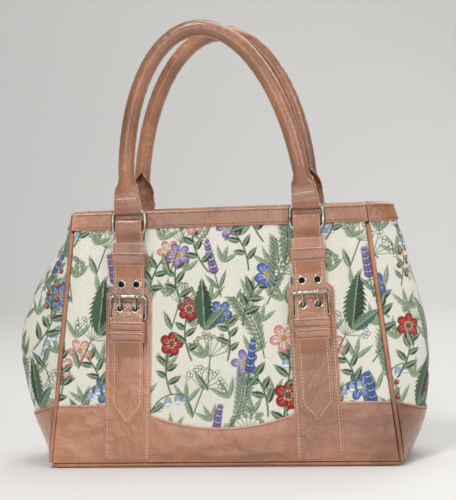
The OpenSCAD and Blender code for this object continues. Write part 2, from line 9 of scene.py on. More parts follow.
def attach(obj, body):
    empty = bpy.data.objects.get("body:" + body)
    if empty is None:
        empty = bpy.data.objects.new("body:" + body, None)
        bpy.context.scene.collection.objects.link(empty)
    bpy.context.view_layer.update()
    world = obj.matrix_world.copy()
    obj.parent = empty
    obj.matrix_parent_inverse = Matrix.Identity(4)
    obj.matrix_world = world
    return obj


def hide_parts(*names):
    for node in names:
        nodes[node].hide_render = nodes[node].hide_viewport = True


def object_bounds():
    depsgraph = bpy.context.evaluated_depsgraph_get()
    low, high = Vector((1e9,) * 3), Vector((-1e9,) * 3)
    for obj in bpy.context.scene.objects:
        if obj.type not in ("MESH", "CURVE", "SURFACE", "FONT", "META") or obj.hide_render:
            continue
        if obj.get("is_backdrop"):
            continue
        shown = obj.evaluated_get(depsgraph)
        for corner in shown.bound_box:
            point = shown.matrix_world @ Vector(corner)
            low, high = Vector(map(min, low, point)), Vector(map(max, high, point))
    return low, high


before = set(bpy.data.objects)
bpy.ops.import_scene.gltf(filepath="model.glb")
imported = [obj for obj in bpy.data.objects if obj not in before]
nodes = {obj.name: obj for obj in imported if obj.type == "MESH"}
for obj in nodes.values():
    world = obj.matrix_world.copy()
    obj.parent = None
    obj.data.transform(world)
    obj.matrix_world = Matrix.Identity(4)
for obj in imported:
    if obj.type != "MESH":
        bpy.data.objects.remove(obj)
cadLow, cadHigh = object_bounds()
print("frame: %d nodes" % len(nodes))

mm = 0.001


# sizes given in millimetres, single ones or lists, as metres
def millimetres(**sizes):
    return {key: np.multiply(value, mm) for key, value in sizes.items()}


# body of the bag; s is height measured up the sloping front, out is away from its face
bag = dict(
    **millimetres(
        height=250, baseWidth=344, topWidth=286, baseDepth=104, topDepth=56, foot=5.6, gussetMid=(52, 42),
        gussetTop=(5, 24), gussetDip=13, edgeGap=2.5,
    ),
    gussetRise=(1.0, 0.75), gussetSharp=((0.85, 1.5), (1.0, 1.0)),
)
tilt = math.atan((bag["baseDepth"] - bag["topDepth"]) / 2 / bag["height"])
slopeHeight = bag["height"] / math.cos(tilt)


# half the width and half the depth at height z: straight lines from base to mouth
def halfWidth(z):
    return (bag["baseWidth"] + (bag["topWidth"] - bag["baseWidth"]) * z / bag["height"]) / 2


def halfDepth(z):
    return (bag["baseDepth"] + (bag["topDepth"] - bag["baseDepth"]) * z / bag["height"]) / 2


# point on the front: x across, s up the slope, out along the slope's normal
def onFront(x, s, out):
    x, s, out = np.broadcast_arrays(x, s, out)
    y = -bag["baseDepth"] / 2 + s * math.sin(tilt) - out * math.cos(tilt)
    return np.stack([x, y, s * math.cos(tilt) + out * math.sin(tilt)], -1)


# the front's outward normal: one step out of its face
frontNormal = onFront(0.0, 0.0, 1.0) - onFront(0.0, 0.0, 0.0)


# how far a gusset stands out at height z: a straight line to the top plus a skewed half sine
def bulge(k, z):
    h = np.clip(z / bag["height"], 0, 1)
    top = bag["gussetTop"][k]
    t = h ** bag["gussetRise"][k]
    below, above = bag["gussetSharp"][k]
    wave = np.clip(np.sin(np.pi * t), 0, 1) ** np.where(t < 0.5, below, above)
    return top * h + (bag["gussetMid"][k] - top / 2) * wave


# point on a gusset: v runs from 0 at the front edge to 1 at the back, half a sine in plan
def onGusset(k, v, z, out):
    v, z, out = np.broadcast_arrays(v, z, out)
    b, d = bulge(k, z), halfDepth(z)
    alongX, alongY = np.pi * b * np.cos(np.pi * v), 2 * d
    size = np.hypot(alongX, alongY)
    x = halfWidth(z) + b * np.sin(np.pi * v) + out * alongY / size
    return np.stack([(-1, 1)[k] * x, -d + 2 * d * v - out * alongX / size, z], -1)


# rises from 0 to 1 with level ends: three t squared less two t cubed
def smoothStep(t):
    t = np.clip(t, 0, 1)
    return t * t * (3 - 2 * t)


waveShares = (1.0, 0.62, 0.41, 0.3)


# soft waves for folds: a sum of a few sines with fixed directions and phases
def foldWaves(p, q, wavelength, seed):
    draw = np.random.default_rng(seed)
    total = np.zeros(np.broadcast(p, q).shape)
    for share in waveShares:
        a, phase = draw.uniform(0, 2 * np.pi, 2)
        along = p * np.cos(a) + q * np.sin(a)
        total = total + share * np.sin(2 * np.pi * along / (wavelength * share) + phase)
    return total / sum(waveShares)


# direction of length one: a over its own length
def unit(a):
    return a / np.maximum(np.linalg.norm(a, axis=-1, keepdims=True), 1e-12)


# quads of a grid of points, closed across its columns or along its rows if asked
def gridQuads(rows, cols, closeCols=False, closeRows=False):
    i = np.arange(rows if closeRows else rows - 1)[:, None]
    j = np.arange(cols if closeCols else cols - 1)[None, :]
    i1, j1 = (i + 1) % rows, (j + 1) % cols
    return np.stack([i * cols + j, i * cols + j1, i1 * cols + j1, i1 * cols + j], -1).reshape(-1, 4)


# mesh of points and faces, with its normals turned outwards
def newMesh(name, verts, faces):
    mesh = bpy.data.meshes.new(name)
    mesh.from_pydata(verts.tolist(), [], faces)
    bm = bmesh.new()
    bm.from_mesh(mesh)
    bmesh.ops.recalc_face_normals(bm, faces=bm.faces)
    bm.to_mesh(mesh)
    bm.free()
    return mesh


# object that carries the data, linked to the scene
def newObject(name, data):
    thing = bpy.data.objects.new(name, data)
    bpy.context.scene.collection.objects.link(thing)
    return thing


# makes a piece that rides on its body; one at the back is mirrored from the front
def addPiece(
    name, shape, material, stands=(), back=False, body="bag", sharp=35, rim=None,
):
    verts, faces = shape
    mesh = newMesh(name, verts * [1, -1 if back else 1, 1], faces)
    mesh.polygons.foreach_set("use_smooth", np.ones(len(mesh.polygons), bool))
    mesh.set_sharp_from_angle(angle=math.radians(sharp))
    mesh.materials.append(material)
    if rim is not None:
        mesh.attributes.new("rim", "FLOAT", "POINT").data.foreach_set("value", rim.astype(np.float32))
    piece = newObject(name, mesh)
    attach(piece, body)
    if stands:
        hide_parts(*stands)
    return piece


# names of places: front or back, and left or right where side is -1 or 1
def faceName(back):
    return "back" if back else "front"


def endName(side):
    return "left" if side < 0 else "right"


def pieceName(side, back, kind):
    return "%s_%s_%s" % (faceName(back), endName(side), kind)


# closed outline carried along stations: points is (stations, outline points, 3)
def skin(points, closeRows=False):
    n, m = points.shape[:2]
    faces = gridQuads(n, m, True, closeRows).tolist()
    if not closeRows:
        faces += [list(range(m)), list(range((n - 1) * m, n * m))]
    return points.reshape(-1, 3), faces


# several shapes as one: the faces of each count on from the points before it
def joined(shapes):
    points, faces, count = [], [], 0
    for verts, quads in shapes:
        faces += [[i + count for i in f] for f in quads]
        points.append(verts)
        count += len(verts)
    return np.concatenate(points), faces


# outline of a strap: half width w, half thickness t, round edges, a low crown on its face
def strapOutline(w, t, crown=0.0, cols=7, edgeCols=7):
    w = np.atleast_1d(np.asarray(w, float))[:, None]
    arc = np.linspace(-np.pi / 2, np.pi / 2, edgeCols)[None, :]
    run = np.linspace(1, -1, cols + 2)[None, 1:-1]
    inner = np.maximum(w - t, 0.05 * mm)
    face = t + crown * (1 - run ** 2) + 0 * inner
    x = np.concatenate([inner + t * np.cos(arc), inner * run, -inner - t * np.cos(arc), -inner * run], 1)
    y = np.concatenate([t * np.sin(arc) + 0 * w, face, -t * np.sin(arc) + 0 * w, -t + 0 * inner * run], 1)
    return np.stack([x, y], -1)


# marks a strap's cut edges: 1 on the round edges of each outline, 0 on its faces
def rimOf(stations, cols, edgeCols=7):
    edge = np.ones(edgeCols)
    edge[[0, -1]] = 0
    return np.tile(np.concatenate([edge, np.zeros(cols), edge, np.zeros(cols)]), stations)


# leather strip of crosswise outlines with marked cut edges, in place of one node
def addStrip(name, points, cols, material, node, back=False):
    addPiece(name, skin(points), material, (node,), back, rim=rimOf(len(points), cols))


# outline of a folded sheet: a line thickened by t on both sides, with round ends
def thickLine(line, t, edgeCols=6):
    way = unit(np.gradient(line, axis=0))
    side = np.stack([-way[:, 1], way[:, 0]], 1)
    arc = np.linspace(0, np.pi, edgeCols + 2)[1:-1, None]
    endCap = line[-1] + t * (np.cos(arc) * side[-1] + np.sin(arc) * way[-1])
    startCap = line[0] - t * (np.cos(arc) * side[0] + np.sin(arc) * way[0])
    return np.concatenate([line + t * side, endCap, (line - t * side)[::-1], startCap])


# line raised along its own normal: a station for each of its points, rise across them
def raised(line, rise):
    way = unit(np.gradient(line, axis=0))
    return line[:, :1] - way[:, 1:] * rise, line[:, 1:] + way[:, :1] * rise


# even points along a line, with what is carried on it
def resample(line, pitch, *carried):
    line = np.asarray(line, float)
    run = np.concatenate([[0], np.cumsum(np.linalg.norm(np.diff(line, axis=0), axis=1))])
    count = max(2, int(round(run[-1] / pitch)) + 1)
    at = np.linspace(0, run[-1], count)
    take = [np.stack([np.interp(at, run, c[:, k]) for k in range(c.shape[1])], 1) for c in (line, *carried)]
    return take if carried else take[0]


# rounds the corners of a polyline by passing a box filter along it
def softened(line, pitch, reach):
    even = resample(line, pitch)
    width = max(1, int(reach / pitch))
    padded = np.concatenate([np.repeat(even[:1], width, 0), even, np.repeat(even[-1:], width, 0)])
    kernel = np.ones(2 * width + 1) / (2 * width + 1)
    smooth = np.stack([np.convolve(padded[:, k], kernel, "valid") for k in range(even.shape[1])], 1)
    smooth[0], smooth[-1] = even[0], even[-1]
    return smooth


# round wire along a path: rings of radius r in the plane square to the path
def wire(path, r, sides=14, closed=False, up=(0, -1, 0.1)):
    path = np.asarray(path, float)
    way = np.roll(path, -1, 0) - np.roll(path, 1, 0) if closed else np.gradient(path, axis=0)
    way = unit(way)
    across = unit(np.cross(way, np.asarray(up, float)))
    lift = np.cross(across, way)
    a = np.linspace(0, 2 * np.pi, sides, endpoint=False)[None, :, None]
    r = np.broadcast_to(np.asarray(r, float), (len(path),))[:, None, None]
    return skin(path[:, None] + r * (np.cos(a) * across[:, None] + np.sin(a) * lift[:, None]), closed)


stitchLook = dict(at=(-1, -0.55, 0.55, 1), girth=(0.45, 1, 1, 0.45), sides=6, sink=0.9, lift=0.35)


# rows of stitches along lines: each is a short spindle that sinks at both ends
def stitchSet(rows, length=2.4 * mm, pitch=3.3 * mm, r=0.42 * mm):
    centre, way, out = [], [], []
    for line, normal in rows:
        at, lift = resample(line, pitch, np.broadcast_to(normal, np.shape(line)))
        centre.append((at[1:] + at[:-1]) / 2)
        way.append(unit(at[1:] - at[:-1]))
        out.append(unit((lift[1:] + lift[:-1]) / 2))
    centre, way, out = (np.concatenate(c)[:, None, None] for c in (centre, way, out))
    t = np.array(stitchLook["at"])[None, :, None, None]
    girth = np.array(stitchLook["girth"])[None, :, None, None] * r
    a = np.linspace(0, 2 * np.pi, stitchLook["sides"], endpoint=False)[None, None, :, None]
    rise = girth * np.cos(a) - stitchLook["sink"] * r * t ** 2 + stitchLook["lift"] * r
    points = centre + way * t * length / 2 + out * rise + np.cross(way, out) * girth * np.sin(a)
    caps = [[0, 1, 2, 3], [0, 3, 4, 5], [18, 19, 20, 21], [18, 21, 22, 23]]
    one = np.concatenate([gridQuads(len(stitchLook["at"]), stitchLook["sides"], True), caps])
    first = np.arange(len(points)) * points[0].size // 3
    return points.reshape(-1, 3), (one[None] + first[:, None, None]).reshape(-1, 4).tolist()


# colour of 0 to 255 as linear light: the display's curve undone
def srgb(r, g, b):
    c = np.array([r, g, b]) / 255
    return tuple(np.where(c <= 0.04045, c / 12.92, ((c + 0.055) / 1.055) ** 2.4))


# gives the inputs of a node their values
def setInputs(node, values):
    for key, value in values.items():
        node.inputs[key].default_value = value


# material with its node tree and its shader
def newMaterial(name, values):
    material = bpy.data.materials.new(name)
    material.use_nodes = True
    tree = material.node_tree
    shader = tree.nodes["Principled BSDF"]
    setInputs(shader, values)
    return material, tree, shader


# node of one kind: each value goes to the input or the setting of that name
def addNode(tree, kind, **values):
    node = tree.nodes.new(kind)
    for key, value in values.items():
        if key in node.inputs:
            node.inputs[key].default_value = value
        else:
            setattr(node, key, value)
    return node


# value carried from one range to another along a straight line
def remap(tree, value, before=(0, 1), after=(0, 1)):
    node = addNode(tree, "ShaderNodeMapRange")
    setInputs(node, dict(zip(("From Min", "From Max", "To Min", "To Max"), (*before, *after))))
    tree.links.new(value, node.inputs["Value"])
    return node.outputs["Result"]


# texture node read at coordinates that are stretched or turned where values say so
def addTexture(tree, kind, source, place, **values):
    if place:
        mapping = addNode(tree, "ShaderNodeMapping", **place)
        tree.links.new(source, mapping.inputs["Vector"])
        source = mapping.outputs["Vector"]
    texture = addNode(tree, kind, **values)
    tree.links.new(source, texture.inputs["Vector"])
    return texture


# noise between two levels, from 0 to 1, read from object coordinates
def noiseFac(tree, scale, low, high, detail, place=None, distortion=0.0):
    source = addNode(tree, "ShaderNodeTexCoord").outputs["Object"]
    noise = addTexture(
        tree, "ShaderNodeTexNoise", source, place, Scale=scale, Detail=detail, Distortion=distortion,
    )
    return remap(tree, noise.outputs["Fac"], (low, high))


# mix of two colours, each a fixed colour or the output of a node
def mixColour(tree, fac, a, b, blend="MIX"):
    mix = addNode(tree, "ShaderNodeMix", data_type="RGBA", blend_type=blend)
    for socket, value in ((mix.inputs["Factor"], fac), (mix.inputs[6], a), (mix.inputs[7], b)):
        if isinstance(value, bpy.types.NodeSocket):
            tree.links.new(value, socket)
        else:
            socket.default_value = (*value, 1) if isinstance(value, tuple) else value
    return mix.outputs[2]


# bumps stacked one on another, each a height, its strength and its depth
def stackBumps(tree, shader, layers):
    normal = None
    for height, strength, distance in layers:
        bump = addNode(tree, "ShaderNodeBump", Strength=strength, Distance=distance)
        tree.links.new(height, bump.inputs["Height"])
        if normal is not None:
            tree.links.new(normal, bump.inputs["Normal"])
        normal = bump.outputs["Normal"]
    tree.links.new(normal, shader.inputs["Normal"])


# each leather: colours, roughness, specular level, weight and roughness of its coat; noises as
# scale, low, high, detail; bumps as strength, depth
leatherLook = dict(
    light=srgb(186, 123, 82), mid=srgb(164, 101, 62), dark=srgb(120, 70, 40), edge=srgb(212, 162, 134),
    roughness=(0.16, 0.36), specular=0.85, coat=(0.45, 0.2), mottle=(28, 0.35, 0.68, 5),
    rubs=(9, 0.42, 0.72, 6), dents=(26, 0.3, 0.7, 3), creases=(1.0, 0.5, 0.56, 6), stretch=(70, 26, 26),
    grain=1500, pore=0.25, dentBump=(0.95, 2.5 * mm), creaseBump=(0.35, 0.6 * mm),
    poreBump=(0.25, 0.15 * mm),
)


# leather: mottled colour, soft dents, long creases from stretched noise and pebble grain from cells
def leatherMaterial(name, look):
    weight, roughness = look["coat"]
    material, tree, shader = newMaterial(name, {
        "Specular IOR Level": look["specular"], "Coat Weight": weight, "Coat Roughness": roughness,
    })
    mottle = noiseFac(tree, *look["mottle"])
    rubs = noiseFac(tree, *look["rubs"], distortion=0.4)
    base = mixColour(tree, mottle, look["mid"], look["light"])
    base = mixColour(tree, rubs, base, look["dark"])
    cutEdge = addNode(tree, "ShaderNodeAttribute", attribute_name="rim")
    base = mixColour(tree, cutEdge.outputs["Fac"], base, look["edge"])
    tree.links.new(base, shader.inputs["Base Color"])
    tree.links.new(remap(tree, mottle, after=look["roughness"]), shader.inputs["Roughness"])
    dents = noiseFac(tree, *look["dents"], distortion=0.6)
    creases = noiseFac(tree, *look["creases"], dict(Scale=look["stretch"]), 1.2)
    source = addNode(tree, "ShaderNodeTexCoord").outputs["Object"]
    cells = addTexture(
        tree, "ShaderNodeTexVoronoi", source, None, Scale=look["grain"], feature="DISTANCE_TO_EDGE",
    )
    pores = remap(tree, cells.outputs["Distance"], (0, look["pore"]))
    stackBumps(tree, shader, [
        (dents, *look["dentBump"]), (creases, *look["creaseBump"]), (pores, *look["poreBump"]),
    ])
    return material


leather = leatherMaterial("tanLeather", leatherLook)
baseLeather = leatherMaterial("creasedLeather", dict(
    leatherLook, stretch=(30, 30, 64), dents=(22, 0.3, 0.7, 3), dentBump=(1.0, 2.5 * mm),
))
# very dark leather with little gloss, for the painted shade inside the spare eyelets' holes
shadeLeather = leatherMaterial("shadeLeather", dict(
    leatherLook, light=srgb(52, 34, 26), mid=srgb(42, 26, 20), dark=srgb(30, 19, 15), specular=0.1,
    coat=(0.0, 0.2),
))
handleLeather = leatherMaterial("handleLeather", dict(
    leatherLook, light=srgb(180, 117, 76), mid=srgb(156, 95, 57), dark=srgb(110, 64, 38),
    edge=srgb(222, 178, 152), roughness=(0.14, 0.3), specular=0.9, coat=(0.5, 0.2), grain=1700,
    stretch=(60, 60, 420), dents=(60, 0.3, 0.7, 3), dentBump=(0.4, 2.5 * mm),
))

metalLook = dict(
    light=srgb(200, 194, 180), dark=srgb(124, 115, 98), tarnish=(160, 0.35, 0.7, 5), roughness=(0.14, 0.34),
)


# metal: warm grey with cloudy tarnish in colour and roughness
def metalMaterial():
    material, tree, shader = newMaterial("antiqueNickel", dict(Metallic=1.0))
    cloud = noiseFac(tree, *metalLook["tarnish"])
    tree.links.new(mixColour(tree, cloud, metalLook["light"], metalLook["dark"]), shader.inputs["Base Color"])
    tree.links.new(remap(tree, cloud, after=metalLook["roughness"]), shader.inputs["Roughness"])
    return material


# plain cloth or thread: two tones of noise and a fine weave bump
def clothMaterial(name, light, dark, scale=900, rough=0.85):
    material, tree, shader = newMaterial(name, {"Roughness": rough, "Specular IOR Level": 0.25})
    tone = noiseFac(tree, scale, 0.35, 0.65, 3)
    tree.links.new(mixColour(tree, tone, dark, light), shader.inputs["Base Color"])
    stackBumps(tree, shader, [(tone, 0.4, 0.2 * mm)])
    return material


twillLook = dict(
    turn=-55, ribs=160.0, wander=1.2, shade=(0.8, 1.08), ribBump=(0.45, 0.35 * mm), slubs=900.0,
    slubStretch=(1, 0.35, 1), slubBump=(0.3, 0.2 * mm), roughness=0.88, specular=0.2, sheen=0.15,
)


# tapestry: colour painted on the cloth as an attribute, twill ribs from its own UV map
def tapestryMaterial():
    look = twillLook
    material, tree, shader = newMaterial("wovenTapestry", {
        "Roughness": look["roughness"], "Specular IOR Level": look["specular"], "Sheen Weight": look["sheen"],
    })
    painted = addNode(tree, "ShaderNodeVertexColor", layer_name="weave").outputs["Color"]
    source = addNode(tree, "ShaderNodeUVMap", uv_map="clothUv").outputs["UV"]
    rib = addTexture(
        tree, "ShaderNodeTexWave", source, dict(Rotation=(0, 0, math.radians(look["turn"]))),
        Scale=look["ribs"], Distortion=look["wander"], Detail=2.0, wave_type="BANDS",
    ).outputs["Fac"]
    slub = addTexture(
        tree, "ShaderNodeTexNoise", source, dict(Scale=look["slubStretch"]), Scale=look["slubs"], Detail=3.0,
    ).outputs["Fac"]
    ribbed = mixColour(tree, 1.0, painted, remap(tree, rib, after=look["shade"]), "MULTIPLY")
    tree.links.new(ribbed, shader.inputs["Base Color"])
    stackBumps(tree, shader, [(rib, *look["ribBump"]), (slub, *look["slubBump"])])
    return material


nickel = metalMaterial()
tapestry = tapestryMaterial()
thread = clothMaterial("creamThread", srgb(238, 222, 198), srgb(206, 180, 150), 2500, 0.7)
# stitch thread: its own tone-on-tone brown, darkened further as painted shade of the stitch holes
threadWithPaintedShade = clothMaterial("brownThreadWithPaintedShade", srgb(116, 70, 52), srgb(86, 50, 38), 2500, 0.7)
liningCloth = clothMaterial("liningCloth", srgb(150, 128, 102), srgb(120, 100, 80), 1400)
coreFoam = clothMaterial("coreFoam", srgb(196, 212, 216), srgb(160, 182, 190), 700)
rawEdge = clothMaterial("rawEdge", srgb(205, 170, 140), srgb(170, 128, 98), 1800, 0.8)
print("materials done")

# woven flowers: every motif is painted on points of the cloth, u across and v up, in millimetres
palette = dict(
    cream=(227, 224, 211), straw=(206, 198, 166), deepGreen=(50, 70, 57), green=(80, 104, 79),
    sage=(120, 140, 110), mist=(164, 176, 148), teal=(78, 108, 104), navy=(60, 76, 122),
    blue=(92, 114, 168), sky=(160, 178, 210), wine=(112, 30, 38), red=(164, 46, 46),
    coral=(206, 112, 96), plum=(96, 76, 124), lilac=(146, 126, 174), pale=(196, 184, 208),
    pink=(208, 158, 150), ochre=(186, 150, 78), bark=(104, 88, 64), white=(236, 234, 222),
)
dyes = {key: np.array(srgb(*value)) for key, value in palette.items()}


# direction at an angle, and the direction square to it
def heading(angle):
    return np.array([math.cos(angle), math.sin(angle)])


def sideways(angle):
    return np.array([-math.sin(angle), math.cos(angle)])


# points within reach of a place, as distances along and across a direction
def near(cloth, at, angle, reach):
    du, dv = cloth["u"] - at[0], cloth["v"] - at[1]
    hit = np.flatnonzero(du * du + dv * dv < reach * reach)
    c, s = math.cos(angle), math.sin(angle)
    return hit, du[hit] * c + dv[hit] * s, dv[hit] * c - du[hit] * s


# dyes points: each goes towards the colour by its cover, from 0 to 1
def stain(cloth, hit, cover, colour):
    cloth["rgb"][hit] += np.clip(cover, 0, 1)[:, None] * (dyes[colour] - cloth["rgb"][hit])


# ellipse with a soft edge
def blob(cloth, at, angle, long, wide, colour):
    hit, a, b = near(cloth, at, angle, max(long, wide) * 1.2)
    stain(cloth, hit, (1 - np.hypot(a / long, b / wide)) * 3 + 0.4, colour)


# leaf: half width follows a skewed sine; one half darker, a pale rib and slanting veins
def leaf(cloth, at, angle, length, width, dark, light, teeth=0.0):
    hit, a, b = near(cloth, at, angle, length * 1.05)
    t = np.clip(a / length, 0, 1)
    half = width / 2 * np.sin(np.pi * t ** 0.75) * (1 - teeth * ((a * 0.3 + 0.1 * np.abs(b)) % 1))
    inside = (half - np.abs(b)) * ((a > 0) & (a < length))
    cover = np.clip(inside / 0.45 + 0.2, 0, 1) * (inside > -0.1) * (t > 0) * (t < 1)
    stain(cloth, hit, cover, dark)
    stain(cloth, hit, cover * (b > 0) * (inside > 0.55) * 0.85, light)
    vein = ((a - 0.9 * np.abs(b)) % 3.3 < 1.0) & (inside > 0.7)
    stain(cloth, hit, vein * np.where(b > 0, 0.55, 0.6), "green")
    stain(cloth, hit, (np.abs(b) < 0.38) * (inside > 0.2) * 0.8, "mist")


# stem: distance to a bent line between two ends
def stem(cloth, start, bend, end, width=1.0, colour="green"):
    t = np.linspace(0, 1, 16)[:, None]
    line = (1 - t) ** 2 * np.array(start) + 2 * t * (1 - t) * np.array(bend) + t ** 2 * np.array(end)
    p = np.stack([cloth["u"], cloth["v"]], 1)[:, None]
    a, way = line[None, :-1], np.diff(line, axis=0)[None]
    along = np.clip(((p - a) * way).sum(-1) / np.maximum((way ** 2).sum(-1), 1e-9), 0, 1)
    gap = np.linalg.norm(p - a - along[..., None] * way, axis=-1).min(1)
    stain(cloth, np.arange(len(gap)), (width / 2 - gap) / 0.4 + 0.5, colour)
    return line


# flower: petals from a cosine round the middle, a dark line between them and a dotted heart
def blossom(cloth, at, angle, r, petals, outer, inner, line, heart="ochre", depth=0.5):
    hit, a, b = near(cloth, at, angle, r * 1.1)
    radius, turn = np.hypot(a, b), np.arctan2(b, a)
    lobe = np.abs(np.cos(petals * turn / 2)) ** 0.7
    edge = r * (1 - depth + depth * lobe)
    cover = (edge - radius) / 0.5 + 0.3
    stain(cloth, hit, cover, line)
    stain(cloth, hit, np.minimum(cover, (edge - radius - 0.8) / 0.5) * (lobe > 0.42), outer)
    rays = np.sin(turn * petals * 3) > 0.35
    stain(cloth, hit, rays * (radius < 0.72 * edge) * (lobe > 0.4) * 0.9, inner)
    stain(cloth, hit, (0.24 * r - radius) / 0.5, heart)
    dots = (np.abs(radius - 0.3 * r) < 0.7) & (np.sin(turn * 9) > 0.2)
    stain(cloth, hit, dots * 0.9, "straw")


# flower on a leafy stem; share is its size beside other motifs
def flowerSprig(cloth, root, angle, size, draw, share, *colours):
    size = size * share
    tip = root + size * heading(angle)
    side = draw.choice([-1, 1])
    line = stem(cloth, root, (root + tip) / 2 + side * 0.22 * size * sideways(angle), tip, 1.2)
    for k, at in enumerate((3, 5, 7, 9, 11)):
        turn = angle + (1 if k % 2 else -1) * draw.uniform(0.7, 1.1)
        leaf(cloth, line[at], turn, size * draw.uniform(0.26, 0.36), size * 0.13, "deepGreen", "sage")
    blossom(cloth, tip, draw.uniform(0, 6), size * 0.25, draw.choice([5, 6]), *colours)


# spike: pairs of small buds that shrink towards the tip
def budSpike(cloth, root, angle, size, draw):
    way = heading(angle)
    stem(cloth, root, root + 0.5 * size * way, root + size * 1.05 * way, 0.9)
    colours = ("plum", "lilac", "pale") if draw.random() < 0.6 else ("navy", "blue", "sky")
    for k in range(9):
        at = root + size * (0.42 + 0.07 * k) * way
        for turn in (-0.75, 0.75):
            spot = at + 2.1 * (1 - 0.06 * k) * heading(angle + turn)
            blob(cloth, spot, angle + turn, 2.5 - 0.13 * k, 1.5, colours[0])
            blob(cloth, spot + 0.6 * way, angle + turn, 1.5, 0.8, colours[1 + k % 2])
    for turn in (-0.6, 0.5):
        leaf(cloth, root + 0.12 * size * way, angle + turn, size * 0.4, 3.2, "teal", "sage")


# fern: leaflets in pairs up a bent stem
def fernFrond(cloth, root, angle, size, draw):
    tip = root + size * 1.15 * heading(angle)
    bend = (root + tip) / 2 + draw.choice([-1, 1]) * 0.2 * size * sideways(angle)
    line = stem(cloth, root, bend, tip, 0.8, "deepGreen")
    tones = (("green", "sage"), ("teal", "mist"))[draw.choice([0, 1])]
    for k in range(2, 15):
        span = size * 0.3 * math.sin(math.pi * (0.18 + 0.82 * (1 - k / 16)))
        for turn in (-0.85, 0.85):
            leaf(cloth, line[k], angle + turn, span, 2.6, *tones)


# one wide toothed leaf with a smaller one beside it
def broadLeaf(cloth, root, angle, size, draw):
    leaf(cloth, root, angle, size, size * 0.42, "deepGreen", "green", 0.32)
    leaf(cloth, root, angle + draw.choice([-1, 1]) * 0.8, size * 0.6, size * 0.24, "teal", "sage", 0.25)


# flat head: rays that end in clusters of dots
def rayHead(cloth, root, angle, size, draw):
    hub = root + 0.55 * size * heading(angle)
    stem(cloth, root, hub, hub, 0.9)
    light = draw.choice(["white", "straw", "mist"])
    for turn in np.linspace(-1.15, 1.15, 7):
        end = hub + 0.36 * size * heading(angle + turn)
        stem(cloth, hub, (hub + end) / 2, end, 0.6, "sage")
        for k in range(4):
            spot = end + draw.uniform(-2.2, 2.2, 2)
            blob(cloth, spot, 0, 1.5, 1.5, "green")
            blob(cloth, spot, 0, 1.0, 1.0, light)
    leaf(cloth, root, angle + 0.7, size * 0.42, 4.5, "green", "mist")


# twig of berries, each on a short stalk across from a leaf
def berryTwig(cloth, root, angle, size, draw):
    tip = root + size * heading(angle)
    line = stem(cloth, root, (root + tip) / 2 + draw.uniform(-4, 4, 2), tip, 0.9, "bark")
    for k in range(3, 16, 2):
        side = 1 if k % 4 == 1 else -1
        spot = line[k] + 4.2 * heading(angle + side * 1.1)
        stem(cloth, line[k], (line[k] + spot) / 2, spot, 0.6, "bark")
        blob(cloth, spot, 0, 2.0, 2.0, "wine")
        blob(cloth, spot + 0.5, 0, 1.1, 1.1, "coral")
        leaf(cloth, line[k - 1], angle - side * 0.9, size * 0.26, 3.6, "green", "sage")


# arching stem with hanging bells
def bellStem(cloth, root, angle, size, draw):
    side = draw.choice([-1, 1])
    tip = root + size * heading(angle - side * 0.5)
    line = stem(cloth, root, root + 0.75 * size * heading(angle + side * 0.15), tip, 0.9)
    for k in (7, 10, 13, 15):
        spot = line[k] + np.array([side * 1.0, -4.0])
        blob(cloth, spot, math.pi / 2, 3.4, 2.5, "teal")
        blob(cloth, spot, math.pi / 2, 2.8, 1.9, "sky")
        blob(cloth, spot - [0, 1.8], 0, 2.2, 0.9, "white")
    leaf(cloth, line[2], angle + 0.5 * side, size * 0.5, 4.6, "deepGreen", "green")
    leaf(cloth, line[3], angle - 0.6 * side, size * 0.42, 4.0, "green", "sage")


# each motif with what it takes besides its place, angle and size
motifs = [
    (flowerSprig, 1.0, "blue", "sky", "navy"), (fernFrond,),
    (flowerSprig, 1.05, "red", "coral", "wine", "bark", 0.32), (budSpike,), (rayHead,), (broadLeaf,),
    (flowerSprig, 1.0, "pink", "white", "coral"), (berryTwig,),
    (flowerSprig, 0.95, "lilac", "pale", "plum", "ochre", 0.7), (bellStem,), (fernFrond,), (rayHead,),
]
flowerLook = dict(
    scale=1.4, pitch=28.0, rowPitch=21.0, size=(32, 42), lean=0.5, jitter=4.0, below=30, above=4, left=10,
    right=20, reach=1.6, grain=0.05,
)


# lays motifs on staggered rows, leaning a little to either side, over small sprays of leaves
def paintCloth(u, v, seed):
    draw = np.random.default_rng(seed)
    rgb = np.tile(dyes["cream"], (u.size, 1))
    look = flowerLook
    places = []
    for row, y in enumerate(np.arange(v.min() - look["below"], v.max() + look["above"], look["rowPitch"])):
        start = u.min() - look["left"] + (row % 2) * look["pitch"] / 2
        places += [(x, y) for x in np.arange(start, u.max() + look["right"], look["pitch"])]
    deal = np.concatenate([draw.permutation(len(motifs)) for _ in range(len(places) // len(motifs) + 1)])
    for layer in ("sprays", "motifs"):
        for place, at in enumerate(places):
            spot = np.array(at) + draw.uniform(-1, 1, 2) * look["jitter"]
            angle = math.pi / 2 + draw.uniform(-1, 1) * look["lean"]
            size = draw.uniform(*look["size"])
            hit = np.flatnonzero((u - spot[0]) ** 2 + (v - spot[1]) ** 2 < (look["reach"] * size) ** 2)
            if not len(hit):
                continue
            part = dict(u=u[hit], v=v[hit], rgb=rgb[hit])
            if layer == "sprays":
                spray = spot + [look["pitch"] / 2, draw.uniform(-4, 4)]
                for turn in (-0.7, 0.0, 0.6):
                    leaf(part, spray, angle + turn, size * 0.42, 3.6, "sage", "mist")
            else:
                motif, *extra = motifs[deal[place]]
                motif(part, spot, angle, size, draw, *extra)
            rgb[hit] = part["rgb"]
    return np.clip(rgb * (1 + look["grain"] * draw.standard_normal(u.size)[:, None]), 0, 1)


tapestryLook = dict(
    **millimetres(
        thickness=1.4, spacing=0.72, backSpacing=0.95, gussetSpacing=0.8, lower=26.5, halfSpan=155,
        gussetLower=37, gussetUpper=248.1, upperGap=1.9,
    ),
    split=0.585, behind=8, backStations=340, gussetStations=170, gussetEdge=0.02, seeds=(21, 34, 55),
)
